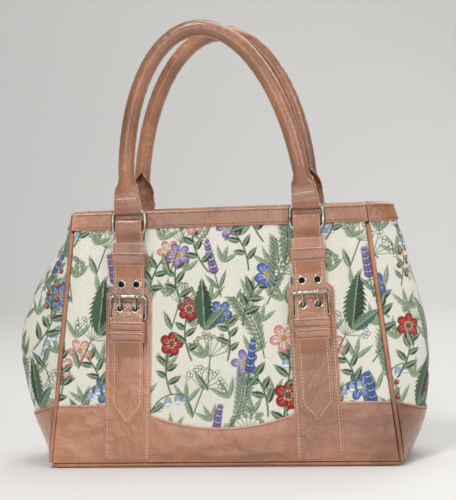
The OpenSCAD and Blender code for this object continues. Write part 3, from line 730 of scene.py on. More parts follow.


# cloth panel: fine on its face, coarse behind, painted and given its own UV map
def clothPanel(name, place, stations, low, high, spacing, swell, flat, seed, stands, back=False):
    cols, behind = int((high - low) / spacing), tapestryLook["behind"]
    h = np.concatenate([np.linspace(low, high, cols), np.linspace(high, low, behind)])[None, :]
    depth = np.repeat([0, tapestryLook["thickness"]], [cols, behind])[None, :]
    station = stations[:, None]
    points = place(station, h, swell(station, h) - depth)
    piece = addPiece(name, skin(points), tapestry, stands, back)
    u, v = flat(station, h)
    u, v = (np.broadcast_to(c, points.shape[:2]).ravel() / mm for c in (u, v))
    mesh = piece.data
    colour = np.ones((len(u), 4), np.float32)
    colour[:, :3] = paintCloth(u / flowerLook["scale"], v / flowerLook["scale"], seed)
    weave = mesh.color_attributes.new("weave", "FLOAT_COLOR", "POINT")
    weave.data.foreach_set("color", colour.ravel())
    corner = np.empty(len(mesh.loops), np.int32)
    mesh.loops.foreach_get("vertex_index", corner)
    uv = np.stack([u, v], 1)[corner] * mm
    mesh.uv_layers.new(name="clothUv").data.foreach_set("uv", uv.astype(np.float32).ravel())
    print("cloth: %s, %d points" % (name, len(u)))


# half width of the front at s up its slope, inside the piping
def slopeHalf(s, edge):
    return halfWidth(s * math.cos(tilt)) - edge


# place on the front, and its place on the flat cloth: u from edge to edge, s up the slope
def placeFront(u, s, out):
    return onFront(u * slopeHalf(s, bag["edgeGap"]), s, out)


def flatFront(u, s):
    return u * slopeHalf(s, bag["edgeGap"]), s


# where swells end, as a place and the length over which they fade
swellLook = millimetres(
    strap=90, besideStrap=(24, 26), edgeFade=14, low=62, lowFade=36, high=232, highFade=34, wave=95,
    rise=2.6, fold=1.1, gussetLow=62, gussetHigh=230, gussetFade=30, gussetWave=70, gussetFold=1.6,
)


# swell of the front: soft between the straps and beside them, none under leather
def swellFront(u, s):
    look = swellLook
    x = u * slopeHalf(s, bag["edgeGap"])
    clear, fade = look["besideStrap"]
    fromStrap = smoothStep((np.abs(np.abs(x) - look["strap"]) - clear) / fade)
    fromEdge = smoothStep((slopeHalf(s, 0) - np.abs(x)) / look["edgeFade"])
    upright = smoothStep((s - look["low"]) / look["lowFade"])
    upright = upright * smoothStep((look["high"] - s) / look["highFade"])
    folds = foldWaves(x, 0.6 * s, look["wave"], 5)
    return fromStrap * fromEdge * upright * (look["rise"] + look["fold"] * folds)


frontTop = slopeHeight - tapestryLook["upperGap"]
split = tapestryLook["split"]
for name, start, end in (
    ("front_cloth_left", -1, -split), ("front_cloth_middle", -split, split), ("front_cloth_right", split, 1),
):
    count = int((end - start) * tapestryLook["halfSpan"] / tapestryLook["spacing"])
    clothPanel(
        name, placeFront, np.linspace(start, end, count), tapestryLook["lower"], frontTop,
        tapestryLook["spacing"], swellFront, flatFront, tapestryLook["seeds"][0], ("front_panel",),
    )
clothPanel(
    "back_cloth", placeFront, np.linspace(-1, 1, tapestryLook["backStations"]), tapestryLook["lower"],
    frontTop, tapestryLook["backSpacing"], swellFront, flatFront, tapestryLook["seeds"][1], ("back_panel",),
    True,
)


# gusset cloth: v from edge to edge, measured flat along two straight lines to its ridge
def gussetPanel(k):
    look, cloth = swellLook, tapestryLook
    side = ("left", "right")[k]
    edge = cloth["gussetEdge"]

    def place(v, z, out):
        return onGusset(k, edge + v * (1 - 2 * edge), z, out)

    def swell(v, z):
        quiet = np.sin(np.pi * v) ** 2 * smoothStep((z - look["gussetLow"]) / look["gussetFade"])
        quiet = quiet * smoothStep((look["gussetHigh"] - z) / look["gussetFade"])
        return quiet * look["gussetFold"] * foldWaves(0.05 * v, z, look["gussetWave"], 8 + k)

    def flat(v, z):
        return v * (2 * np.hypot(halfDepth(z), bulge(k, z))), z

    clothPanel(
        side + "_cloth", place, np.linspace(0, 1, cloth["gussetStations"]), cloth["gussetLower"],
        cloth["gussetUpper"], cloth["gussetSpacing"], swell, flat, cloth["seeds"][2] + k, (side + "_gusset",),
    )


gussetPanel(0)
gussetPanel(1)
print("tapestry done")

# leather round the base, scooped between the straps on the front and back
baseLook = dict(
    **millimetres(
        top=62, scoop=38.5, scoopRadius=197, half=0.8, lift=0.85, stitchIn=2.6, edgeFade=8, strap=94,
        strapClear=24, strapFade=12, wave=60, fold=0.5, puff=0.8, gussetLift=0.6, gussetWave=45,
    ),
    frontCols=26, gussetCols=22, gussetEnd=0.022, seams=((-166, -121), (-66, 66), (121, 166)),
)


# height of the leather's upper edge at x: level, or the arc of the scoop where that is lower
def baseTop(x):
    drop = baseLook["scoopRadius"] - np.sqrt(np.maximum(baseLook["scoopRadius"] ** 2 - x ** 2, 0))
    return np.minimum(baseLook["top"], baseLook["scoop"] + drop)


# front or back of the base: a round-edged outline from the foot to baseTop, puffed clear of straps
def baseFront(back):
    look, side = baseLook, faceName(back)
    u = np.linspace(-1, 1, 230)
    top = baseTop(u * slopeHalf(look["top"], bag["edgeGap"]))
    low = bag["foot"] / math.cos(tilt)
    outline = strapOutline((top - low) / 2, look["half"], 0, look["frontCols"])
    s = (top + low)[:, None] / 2 + outline[..., 0]
    x = u[:, None] * slopeHalf(s, bag["edgeGap"])
    face = smoothStep((s - low) / look["edgeFade"]) * smoothStep((top[:, None] - s) / look["edgeFade"])
    face = face * (outline[..., 1] > 0)
    clear = smoothStep((np.abs(np.abs(x) - look["strap"]) - look["strapClear"]) / look["strapFade"])
    sag = face * clear * (look["fold"] * foldWaves(x, 2.2 * s, look["wave"], 3) + look["puff"])
    points = onFront(x, s, look["lift"] + outline[..., 1] + sag)
    addStrip(side + "_base_trim", points, look["frontCols"], baseLeather, side + "_base_leather", back)
    rows = []
    for start, end in look["seams"]:
        xs = np.linspace(start, end, 120) * mm
        rows.append((onFront(xs, baseTop(xs) - look["stitchIn"], look["lift"] + look["half"]), frontNormal))
    addPiece(side + "_base_stitches", stitchSet(rows), threadWithPaintedShade, back=back)


# height of the base leather on a gusset: it dips by half a sine between the corners
def gussetTop(v):
    return baseLook["top"] - bag["gussetDip"] * np.sin(np.pi * v)


# side of the base: a round-edged outline from the foot to gussetTop, with shallow folds
def baseGusset(k):
    look, side = baseLook, ("left", "right")[k]
    v = np.linspace(look["gussetEnd"], 1 - look["gussetEnd"], 110)[:, None]
    low, top = bag["foot"], gussetTop(v)
    outline = strapOutline((top[:, 0] - low) / 2, look["half"], 0, look["gussetCols"])
    z, out = (top + low) / 2 + outline[..., 0], look["gussetLift"] + look["half"] + outline[..., 1]
    face = (outline[..., 1] > 0) * np.sin(np.pi * np.clip((z - low) / (top - low), 0, 1))
    folds = look["fold"] * face * foldWaves(0.1 * v, 1.6 * z, look["gussetWave"], 6 + k)
    points = onGusset(k, v, z, out + folds)
    addStrip(side + "_base_trim", points, look["gussetCols"], baseLeather, side + "_base_leather")
    v = np.linspace(0.04, 0.96, 200)
    z = gussetTop(v) - look["stitchIn"]
    line = onGusset(k, v, z, look["gussetLift"] + 2 * look["half"])
    row = (line, unit(onGusset(k, v, z, 4 * mm) - line))
    addPiece(side + "_base_stitches", stitchSet([row]), threadWithPaintedShade)


for back in (False, True):
    baseFront(back)
for k in (0, 1):
    baseGusset(k)

# band folded over the mouth's edge, with a row of stitches along its top and its foot; inside, it
# stands back from the corners, where the next length laps it
bandLook = dict(
    **millimetres(
        height=18, inside=14, half=0.8, face=0.85, inner=-4.5, stitchIn=2.6, topStitch=3.4,
        stitch=(2.3, 3.0, 0.4), innerDrop=7, overlap=0.7, innerGap=(4.4, 0.5), turnStart=1, turnFade=3.5,
        wave=80, dip=0.35, gussetLift=0.6, gussetGap=(0.3, 5.7),
    ),
    innerShare=0.93,
)


# the fold in section: up the face, over in half a circle and down inside
def bandFold(top, shift):
    radius = (bandLook["face"] + shift - bandLook["inner"]) / 2
    turn = top - bandLook["half"] - radius
    a = np.linspace(0, np.pi, 13)
    arc = np.stack([turn + radius * np.sin(a), bandLook["inner"] + radius + radius * np.cos(a)], 1)
    rise = np.linspace(top - bandLook["height"] + bandLook["half"], turn, 9)[:-1]
    fall = np.linspace(turn, top - bandLook["inside"], 7)[1:]
    face = np.stack([rise, np.full(8, bandLook["face"] + shift)], 1)
    inside = np.stack([fall, np.full(6, bandLook["inner"])], 1)
    return thickLine(np.concatenate([face, arc, inside]), bandLook["half"])


# share of the way from the face, 0, to the inside, 1, of the fold
def insideShare(out):
    return smoothStep((-out - bandLook["turnStart"]) / bandLook["turnFade"])


# front or back of the band: the fold carried across, its edge dipping a little in soft waves
def bandFront(back):
    look, side = bandLook, faceName(back)
    fold = bandFold(slopeHeight, 0.0)
    u = np.linspace(-1, 1, 150)[:, None]
    s, out = fold[None, :, 0], fold[None, :, 1]
    inner = np.where(u < 0, *look["innerGap"])
    edge = -look["overlap"] + (inner + look["overlap"]) * insideShare(out)
    x = u * slopeHalf(s, edge)
    wave = look["dip"] * foldWaves(x, 0 * s, look["wave"], 12)
    points = onFront(x, s + np.minimum(wave, 0), out)
    addPiece(side + "_band_trim", skin(points), leather, (side + "_band",), back)
    top, foot = slopeHeight - look["topStitch"], slopeHeight - look["height"] + look["stitchIn"]
    run = np.linspace(-1, 1, 90)
    xs = run * slopeHalf(top, 2 * mm)
    inner = onFront(xs * look["innerShare"], top - look["innerDrop"], look["inner"] - look["half"])
    rows = [
        (onFront(xs, top, look["face"] + look["half"]), frontNormal), (inner, -frontNormal),
        (onFront(run * slopeHalf(foot, 2 * mm), foot, look["face"] + look["half"]), frontNormal),
    ]
    addPiece(side + "_band_stitches", stitchSet(rows, *look["stitch"]), threadWithPaintedShade, back=back)


# side of the band: the fold carried round the gusset, shorter inside by the gap over its run
def bandGusset(k):
    look, side = bandLook, ("left", "right")[k]
    fold = bandFold(bag["height"], look["gussetLift"])
    z, out = fold[None, :, 0], fold[None, :, 1]
    speed = np.hypot(np.pi * bulge(k, bag["height"]), 2 * halfDepth(bag["height"]))
    edge = (look["gussetGap"][0] + look["gussetGap"][1] * insideShare(out)) / speed
    v = edge + np.linspace(0, 1, 60)[:, None] * (1 - 2 * edge)
    addPiece(side + "_band_trim", skin(onGusset(k, v, z, out)), leather, (side + "_band",))
    rows = []
    for z in (bag["height"] - look["topStitch"], bag["height"] - look["height"] + look["stitchIn"]):
        v = np.linspace(0.05, 0.95, 80)
        line = onGusset(k, v, z, look["face"] + look["gussetLift"] + look["half"])
        rows.append((line, unit(onGusset(k, v, z, 6 * mm) - line)))
    addPiece(side + "_band_stitches", stitchSet(rows, *look["stitch"]), threadWithPaintedShade)


for back in (False, True):
    bandFront(back)
for k in (0, 1):
    bandGusset(k)

# piping: cord under leather up each corner and round the bottom
pipingLook = dict(
    **millimetres(r=2.2, cornerR=9, height=3.0, footGap=0.4, topGap=2.3, wave=22), uneven=0.05,
)


# cord up a corner: straight from foot to band, its radius a little uneven
def cornerPiping(side, back):
    look = pipingLook
    z = np.linspace(bag["foot"] + look["footGap"], bag["height"] - bandLook["height"] - look["topGap"], 130)
    path = np.stack([side * halfWidth(z), -halfDepth(z), z], 1)
    r = look["r"] * (1 + look["uneven"] * foldWaves(z, 0 * z, look["wave"], 4 + side))
    name = pieceName(side, back, "piping")
    addPiece(name + "_cord", wire(path, r, 14, False, (1, 0, 0.1)), leather, (name,), back)


for side in (-1, 1):
    for back in (False, True):
        cornerPiping(side, back)


# rounded rectangle: four quarter circles joined by straight runs
def roundRectangle(halfX, halfY, r, steps=9, runs=24):
    a = np.linspace(0, np.pi / 2, steps)
    corner = np.stack([halfX - r + r * np.cos(a), halfY - r + r * np.sin(a)], 1)
    turned = [corner, corner[::-1] * [-1, 1], -corner, corner[::-1] * [1, -1]]
    loop = np.concatenate(turned)
    return resample(np.concatenate([loop, loop[:1]]), 2 * (halfX + halfY) / (4 * runs))[:-1]


path = roundRectangle(
    bag["baseWidth"] / 2 - pipingLook["r"], bag["baseDepth"] / 2 - pipingLook["r"],
    pipingLook["cornerR"] - pipingLook["r"], 9, 60,
)
path = np.concatenate([path, np.full((len(path), 1), pipingLook["height"])], 1)
cord = wire(path, pipingLook["r"], 14, True, (0, 0, 1))
addPiece("bottom_piping_cord", cord, leather, ("bottom_piping",))
print("base, band and piping done")

# straps, patches and what holds them; each strap leans, its top towards the middle, and its
# profile is heights and lifts from the point to the top
strapLook = dict(
    **millimetres(
        x=87, half=15.5, thick=0.9, point=41, pointLength=17, top=219, crown=0.25, stitchIn=2.7,
        patchHalf=22.5, patchLow=8, patchTop=176, patchCut=6, patchFace=2.8, patchEdge=0.55,
        patchFoot=(0.1, 1.7), baseStep=(64, 6),
        profile=(
            (41, 3.7), (108.5, 3.7), (122.5, 9.3), (147.1, 9.3), (162, 3.7), (186, 3.7), (197, 6.0),
            (219, 6.0),
        ),
    ),
    lean=2.1, cols=7, patchCols=9,
)


# point along a strap: turned about the strap's top, then placed on the front
def onStrap(side, x, s, out):
    a = side * math.radians(strapLook["lean"])
    up = s - strapLook["top"]
    across = side * strapLook["x"] + x * math.cos(a) - up * math.sin(a)
    return onFront(across, strapLook["top"] + x * math.sin(a) + up * math.cos(a), out)


# cuts round holes square to the strap's face, and takes the cutters away
def drillHoles(piece, rods):
    shapes = [wire(np.linspace(start, end, 3), r, 20, False, (1, 0, 0)) for start, end, r in rods]
    tool = newObject("cutter", newMesh("cutter", *joined(shapes)))
    cut = piece.modifiers.new("holes", "BOOLEAN")
    cut.object, cut.operation, cut.solver = tool, "DIFFERENCE", "EXACT"
    bpy.context.view_layer.objects.active = piece
    bpy.ops.object.modifier_apply(modifier="holes")
    cutter = tool.data
    bpy.data.objects.remove(tool)
    bpy.data.meshes.remove(cutter)


# eyelets sit in pairs, the lower pair on the ramp where the strap comes down from the pivot bar
# back and its depth are the radius and depth of the dark discs that paint the shade in the spare eyelets'
# holes
eyeletLook = millimetres(
    rows=(154.8, 178.8), half=7.5, hole=2.8, barrel=3.25, flange=4.75, wall=0.4, thick=0.95, bead=0.62,
    back=4.6, backDepth=(1.5, 1.0),
)
ramp = millimetres(low=147.1, high=162.0, over=9.3, flat=3.7)
rampSlope = (ramp["flat"] - ramp["over"]) / (ramp["high"] - ramp["low"])
eyeletZ = ramp["over"] + rampSlope * (eyeletLook["rows"][0] - ramp["low"])
eyeletSeats = [
    (eyeletLook["rows"][0], eyeletZ, math.atan(rampSlope)),
    (eyeletLook["rows"][1], ramp["flat"], 0.0),
]


# places of a strap's eyelets: how far across and up, the lift and the slope of the leather there
def eyeletPlaces(seats):
    return [(x * eyeletLook["half"], *seat) for seat in seats for x in (-1, 1)]


# patch: a round-edged outline with cut corners, stepped over the base leather at its foot
def patch(side, back):
    look = strapLook
    cut = look["patchTop"] - look["patchCut"]
    s = np.concatenate([np.linspace(look["patchLow"], cut, 70), np.linspace(cut, look["patchTop"], 12)[1:]])
    half = look["patchHalf"] - np.maximum(0, s - cut)
    outline = strapOutline(half, look["patchEdge"], 0.0, look["patchCols"])
    step, fade = look["baseStep"]
    foot = look["patchFoot"][0] + look["patchFoot"][1] * smoothStep((step - s) / fade) + look["patchEdge"]
    lift = np.where(outline[..., 1] > 0, look["patchFace"] - look["patchEdge"], foot[:, None])
    points = onStrap(side, outline[..., 0], s[:, None], lift + outline[..., 1])
    name = pieceName(side, back, "patch")
    addStrip(name + "_trim", points, look["patchCols"], leather, name, back)


# seam round a patch: up one side, over the cut corners and down the other
def patchSeam(side):
    look = strapLook
    low, inset = look["patchLow"] + 2 * mm, look["patchHalf"] - look["stitchIn"]
    top, cut = look["patchTop"] - look["stitchIn"], look["patchCut"] - 0.6 * mm
    half = [[inset - cut, top], [inset, top - cut], [inset, low]]
    route = resample(np.concatenate([np.array(half)[::-1] * [-1, 1], half]), 1 * mm)
    return onStrap(side, route[:, 0], route[:, 1], look["patchFace"]), frontNormal


# strap: a crowned outline square to its profile, narrowing to a point, with stitches along its edges;
# a strap at the back has no buckle, so its profile lies flat
def strap(side, back):
    look = strapLook
    keys = look["profile"]
    line = softened(keys[[0, 5, 6, 7]] if back else keys, 0.8 * mm, 1.6 * mm)
    fromPoint = line[:, 0] - look["point"]
    w = look["half"] * np.clip((fromPoint + 0.9 * mm) / look["pointLength"], 0.06, 1)
    outline = strapOutline(w, look["thick"], look["crown"], look["cols"])
    points = onStrap(side, outline[..., 0], *raised(line, outline[..., 1]))
    rim = rimOf(len(points), look["cols"])
    rim[-len(rim) // len(points):] = 1
    name = pieceName(side, back, "strap")
    piece = addPiece(name + "_trim", skin(points), leather, (name,), back, rim=rim)
    if not back:
        rods = []
        for x, at, lift, slope in eyeletPlaces(eyeletSeats):
            lean = np.array([-math.sin(slope), math.cos(slope)]) * 4 * mm
            ends = [onStrap(side, x, at + k * lean[0], lift + k * lean[1]) for k in (-1, 1)]
            rods.append((*ends, eyeletLook["barrel"]))
        drillHoles(piece, rods)
    share = np.clip((fromPoint - 3 * mm) / look["pointLength"], 0.0, 1)
    x = np.maximum(look["half"] * share - look["stitchIn"] * smoothStep(share * 2), 0.4 * mm)
    rows = [patchSeam(side)]
    for edge in (-1, 1):
        seam = onStrap(side, edge * x, line[:, 0], line[:, 1] + look["thick"] + 0.1 * mm)
        rows.append((seam[fromPoint > 4 * mm], frontNormal))
    addPiece(name + "_stitches", stitchSet(rows), thread, back=back)


# places of keepers: kind, then height, length, lift of the feet and lift of the top in millimetres
keeperLook = dict(
    **millimetres(
        half=16.9, thick=0.7, crown=0.35, stitchIn=1.8, stitchHalf=14.5, stitch=(2.2, 3.0, 0.36),
    ),
    cols=5,
    places=(
        ("lower", 122.5, 9.6, 2.85, 11.2), ("middle", 132.8, 9.6, 2.85, 11.2), ("upper", 197, 12.6, 0.1, 7.9),
    ),
)


# keeper: strip bent over the strap, down to the leather on both sides
def keeper(side, kind, s, length, foot, top):
    look, w = keeperLook, keeperLook["half"]
    line = softened(np.array([[-w, foot], [-w, top], [w, top], [w, foot]]), 0.5 * mm, 1.6 * mm)
    outline = strapOutline(length / 2, look["thick"], look["crown"], look["cols"])
    x, out = raised(line, outline[..., 1])
    points = onStrap(side, x, s + length / 2 + outline[..., 0], out)
    name = "%s_%s_keeper" % (endName(side), kind)
    addStrip(name + "_trim", points, look["cols"], handleLeather, name)
    xs = np.linspace(-look["stitchHalf"], look["stitchHalf"], 30)
    rows = []
    for edge in (look["stitchIn"], length - look["stitchIn"]):
        rows.append((onStrap(side, xs, s + edge, top + 0.85 * mm), frontNormal))
    addPiece(name + "_stitches", stitchSet(rows, *look["stitch"]), threadWithPaintedShade)


for side in (-1, 1):
    for back in (False, True):
        patch(side, back)
        strap(side, back)
    for kind, *sizes in keeperLook["places"]:
        keeper(side, kind, *np.multiply(sizes, mm))
print("straps and keepers done")

# rings and the leather loops that hold their lower bars; loopFace and loopBehind are heights and lifts
ringLook = dict(
    **millimetres(
        wire=1.7, halfWidth=15.2, bend=3.2, pitch=21, s=229, out=5.5, bow=0.8, loopHalf=12.9,
        loopThick=0.8, loopCrown=0.15, loopTip=239, loopTurn=2.8,
        loopFace=((201, 4.25), (221.5, 4.25), (228, 8.3), (234, 8.8)),
        loopBehind=((229, 2.7), (222, 0.95), (201, 0.95)),
    ),
    loopCols=5,
)


# closed rectangle of wire with round corners, in its own plane
def ringPath(halfX, low, high, r):
    loop = roundRectangle(halfX, (high - low) / 2, r, 7, 14)
    return loop[:, 0], loop[:, 1] + (high + low) / 2


# loop: a crowned strip along its profile; ring: closed wire whose sides bow out by half a sine
def ringAndLoop(side, back):
    look = ringLook
    middle = side * strapLook["x"]
    arc = np.linspace(np.pi / 2, -np.pi / 2, 13)
    turn = look["loopTurn"] * np.stack([np.cos(arc), np.sin(arc)], 1)
    tip = np.array([look["loopTip"], look["out"]]) + turn
    line = softened(np.concatenate([look["loopFace"], tip, look["loopBehind"]]), 0.7 * mm, 1.4 * mm)
    outline = strapOutline(look["loopHalf"], look["loopThick"], look["loopCrown"], look["loopCols"])
    points = onFront(middle + outline[..., 0], *raised(line, outline[..., 1]))
    name = pieceName(side, back, "ring_loop")
    addStrip(name + "_trim", points, look["loopCols"], leather, name, back)
    x, s = ringPath(look["halfWidth"], look["s"], look["s"] + look["pitch"], look["bend"])
    bow = look["bow"] * np.clip(np.sin(np.pi * ((s - look["s"]) / look["pitch"])), 0, 1)
    x = x + np.sign(x) * bow * (np.abs(x) / look["halfWidth"]) ** 4
    ring = wire(onFront(middle + x, s, look["out"]), look["wire"], 18, True, frontNormal)
    name = pieceName(side, back, "ring")
    addPiece(name + "_wire", ring, nickel, (name,), back, faceName(back) + "_rings")


for side in (-1, 1):
    for back in (False, True):
        ringAndLoop(side, back)

# buckles: frame of wire with a roller on its top bar, two prongs through a pair of eyelets
buckleLook = dict(
    **millimetres(
        bar=1.5, roller=2.3, pivotS=144.8, pivotZ=5.55, rollerS=166.8, rollerZ=7.2, halfWidth=17.5,
        corner=2.3, prong=1.0, rollerGap=1.5, rollerRound=0.4, eye=2.1, eyeWire=0.5,
        route=((146.95, 5.15), (152.0, 4.49), (155.3, 7.39), (161.0, 9.9), (166.8, 10.75), (169.8, 10.25)),
    ),
    taper=(0.88, 0.97, 1, 1, 1, 1, 1, 0.97, 0.88), prongTip=(1, 0.95, 0.55),
)


# shape turned about an axis: a profile of radius and height on a plane's frame
def lathe(centre, axis, profile, sides=28):
    axis = unit(np.asarray(axis, float))
    across = unit(np.cross(axis, (1.0, 0.3, 0.2)))
    other = np.cross(axis, across)
    a = np.linspace(0, 2 * np.pi, sides, endpoint=False)[:, None, None]
    r, h = profile[None, :, 0:1], profile[None, :, 1:2]
    points = centre + r * (np.cos(a) * across + np.sin(a) * other) + h * axis
    return skin(points, True)


# frame: a closed wire that rises from pivot to roller, and the roller with rounded ends
def buckleFrame(side):
    look = buckleLook
    rise = math.asin((look["rollerZ"] - look["pivotZ"]) / (look["rollerS"] - look["pivotS"]))
    reach = (look["rollerS"] - look["pivotS"]) / math.cos(rise)
    x, along = ringPath(look["halfWidth"], 0.0, reach, look["corner"])
    path = onStrap(side, x, look["pivotS"] + along * math.cos(rise), look["pivotZ"] + along * math.sin(rise))
    ends = np.linspace(-1, 1, len(look["taper"])) * (look["halfWidth"] - look["corner"] - look["rollerGap"])
    ends[1], ends[-2] = ends[0] + look["rollerRound"], ends[-1] - look["rollerRound"]
    roller = onStrap(side, ends, look["rollerS"], look["rollerZ"])
    return joined([
        wire(path, look["bar"], 18, True, frontNormal),
        wire(roller, np.array(look["taper"]) * look["roller"], 20, False, frontNormal),
    ])


# prongs: each a bent wire that thins at its tip, and an eye of wire round the pivot bar
def prongPair(side):
    look = buckleLook
    route = softened(look["route"], 0.5 * mm, 1.5 * mm)
    last = len(route) - 1
    r = look["prong"] * np.interp(np.arange(len(route)), [0, last - 2, last], look["prongTip"])
    a = np.linspace(0, 2 * np.pi, 24, endpoint=False)
    eyeS, eyeZ = look["pivotS"] + look["eye"] * np.cos(a), look["pivotZ"] + look["eye"] * np.sin(a)
    shapes = []
    for x in (-eyeletLook["half"], eyeletLook["half"]):
        shapes.append(wire(onStrap(side, x, route[:, 0], route[:, 1]), r, 14, False, (1, 0, 0)))
        shapes.append(wire(onStrap(side, x, eyeS, eyeZ), look["eyeWire"], 10, True, (1, 0, 0)))
    return joined(shapes)


# eyelets: a thin barrel under a bead of half an ellipse, turned about the leather's normal
def eyeletSet(side):
    look = eyeletLook
    bead = np.linspace(0, np.pi, 9)
    middle, half = (look["flange"] + look["hole"]) / 2, (look["flange"] - look["hole"]) / 2
    top = np.stack([middle + half * np.cos(bead), look["thick"] + look["bead"] * np.sin(bead)], 1)
    hole, wall, t = look["hole"], look["hole"] + look["wall"], look["thick"]
    profile = np.concatenate([[[hole, -t], [wall, -t], [wall, t]], top])
    shapes = []
    for x, at, lift, slope in eyeletPlaces(eyeletSeats):
        centre = onStrap(side, x, at, lift)
        axis = onStrap(side, x, at - math.sin(slope), lift + math.cos(slope)) - centre
        shapes.append(lathe(centre, axis, profile))
    return joined(shapes)


# painted shade in the spare eyelets' holes: dark discs as short rods below the leather's middle
def eyeletShadeDiscs(side):
    shapes = []
    for x, at, lift, slope in eyeletPlaces(eyeletSeats[1:]):
        ends = onStrap(side, x, at, lift - eyeletLook["backDepth"])
        shapes.append(wire(ends, eyeletLook["back"], 20, False, (1, 0, 0)))
    return joined(shapes)


for side in (-1, 1):
    name = endName(side)
    for kind, shape, node in (
        ("_buckle_wire", buckleFrame(side), "_buckle_frame"),
        ("_prong_pair", prongPair(side), "_buckle_prongs"), ("_eyelet_set", eyeletSet(side), "_eyelets"),
    ):
        addPiece(name + kind, shape, nickel, (name + node,))
    # dark discs under the spare eyelets: painted shade in their holes
    addPiece(name + "_eyelet_backs", eyeletShadeDiscs(side), shadeLeather)
print("rings and buckles done")

# handles: a strip that goes round the ring's bar, then rolls into a tube round a soft core; tail and
# tab are heights and depths at the strip's ends, lean is for the front and the back
handleLook = dict(
    **millimetres(
        y=-33.585, z=249.381, rise=175, r=8, thick=1.6, tabWidth=24, tabFoot=7, tabFace=-4.0,
        rollStart=14, rollEnd=40, lean=(-12, 2), core=6, flare=2, flareLow=5, flareFade=9, seam=12.6,
        zigzag=1.1, crown=0.42, ripple=0.3, rippleWave=12, bar=2.8,
        tail=((15.0, 0.95), (9.0, 0.95), (4.5, 1.9)), tab=((4.0, -3.2), (6.9, -3.2)),
        stitch=(2.9, 2.9, 0.42),
    ),
    tip=1.5, rim=0.011, rolled=(8, 352), cols=45, edgeCols=5, stitches=11, taper=(0.25, 0.06),
)


# point about the handle's hinge line, turned by its tip
def onHandle(x, y, z):
    x, y, z = np.broadcast_arrays(x, y, z)
    a = -math.radians(handleLook["tip"])
    across = handleLook["y"] + y * math.cos(a) - z * math.sin(a)
    return np.stack([x, across, handleLook["z"] + y * math.sin(a) + z * math.cos(a)], -1)


# arch of the handle: half an ellipse that leans sideways, with its outward normal
def archAt(a, lean):
    x, z = strapLook["x"] * np.cos(a) + lean * np.sin(a), handleLook["rise"] * np.sin(a)
    tx, tz = -strapLook["x"] * np.sin(a) + lean * np.cos(a), handleLook["rise"] * np.cos(a)
    size = np.hypot(tx, tz)
    return x, z, tz / size, -tx / size


# the strip's width before it rolls: a little wider towards the ring
def tabSpread(h):
    look = handleLook
    return look["tabWidth"] + look["flare"] * (1 - smoothStep((h - look["flareLow"]) / look["flareFade"]))


# strip at angle a: an arc of a circle that closes from almost flat to a tube, at depth below its face
def stripPoint(a, j, depth, lean):
    look = handleLook
    h = look["rise"] * np.sin(a)
    k = smoothStep((h - look["rollStart"]) / (look["rollEnd"] - look["rollStart"]))
    flat, closed = look["rolled"]
    turn = np.radians(flat + (closed - flat) * k)
    w = tabSpread(h) + (look["r"] * math.radians(closed) - look["tabWidth"]) * k ** 2
    r = w / turn
    f = turn * (j - 0.5)
    x, z, outX, outZ = archAt(a, lean)
    face = look["tabFace"] + (-look["r"] - look["tabFace"]) * k
    deep = r - depth
    return onHandle(x + deep * np.sin(f) * outX, face + r - deep * np.cos(f), z + deep * np.sin(f) * outZ)


# end of the strip round the ring's bar: a line of heights and depths, j across its width
def wrapPoint(line, flip, j, depth, lean):
    look = handleLook
    way = unit(np.gradient(line, axis=0))
    h, y = line[:, :1], line[:, 1:]
    a = np.arcsin(np.maximum(h, 0) / look["rise"])
    x, _, outX, outZ = archAt(np.pi - a if flip else a, lean)
    outZ = outZ * smoothStep(h / look["tabFoot"])
    u = (j - 0.5) * tabSpread(h)
    proud = look["thick"] / 2 - depth - look["crown"] * (2 * j - 1) ** 2
    return onHandle(x + u * outX, y - way[:, :1] * proud, h + way[:, 1:] * proud + u * outZ)


# closed outlines of the strip: its face, its far edge, its inside and its near edge
def stripRows(point):
    t = handleLook["thick"]
    j = np.linspace(0, 1, handleLook["cols"])[None, :]
    edge = np.linspace(0, np.pi, handleLook["edgeCols"] + 2)[None, 1:-1]
    rim = handleLook["rim"] * np.sin(edge)
    return np.concatenate([
        point(j, 0.0), point(1 + rim, t / 2 - t / 2 * np.cos(edge)),
        point(j[:, ::-1], t), point(-rim, t / 2 + t / 2 * np.cos(edge)),
    ], 1)


# angles along the arch: close together where the strip rolls, even over the top
def stripAngles():
    look = handleLook
    heights = np.concatenate([
        np.linspace(look["tabFoot"], look["rollStart"], 10),
        np.linspace(look["rollStart"], look["rollEnd"] + 2 * mm, 40)[1:],
    ])
    ends = np.arcsin(heights / look["rise"])
    middle = np.linspace(ends[-1], np.pi - ends[-1], 150)[1:-1]
    return np.concatenate([ends, middle, (np.pi - ends)[::-1]])[:, None], ends[-5]


# strip of a handle: wrapped round one ring's bar, over the arch, and round the other bar
def handleStrip(body, back, lean):
    look = handleLook
    a = stripAngles()[0]
    ripple = look["ripple"] * foldWaves(a * 0.17, 0 * a, look["rippleWave"], 31 + back)
    strip = stripRows(lambda j, depth: stripPoint(a, j, depth + np.maximum(ripple, 0) * (depth == 0), lean))
    turn = np.linspace(1.0, 1.5 * np.pi + 0.15, 30)
    bend = look["bar"] * np.stack([np.cos(turn), np.sin(turn)], 1)
    line = softened(np.concatenate([look["tail"], bend, look["tab"]]), 0.5 * mm, 1.0 * mm)
    wraps = [stripRows(lambda j, depth: wrapPoint(line, flip, j, depth, lean)) for flip in (False, True)]
    points = np.concatenate([wraps[0], strip, wraps[1][::-1]])
    parts = (look["cols"], look["edgeCols"]) * 2
    rim = np.tile(np.repeat([0.0, 1.0, 0.0, 1.0], parts), len(points))
    stands = (body, pieceName(-1, back, "handle_loop"), pieceName(1, back, "handle_loop"))
    addPiece(body + "_strip", skin(points), handleLeather, stands, back, body, rim=rim)


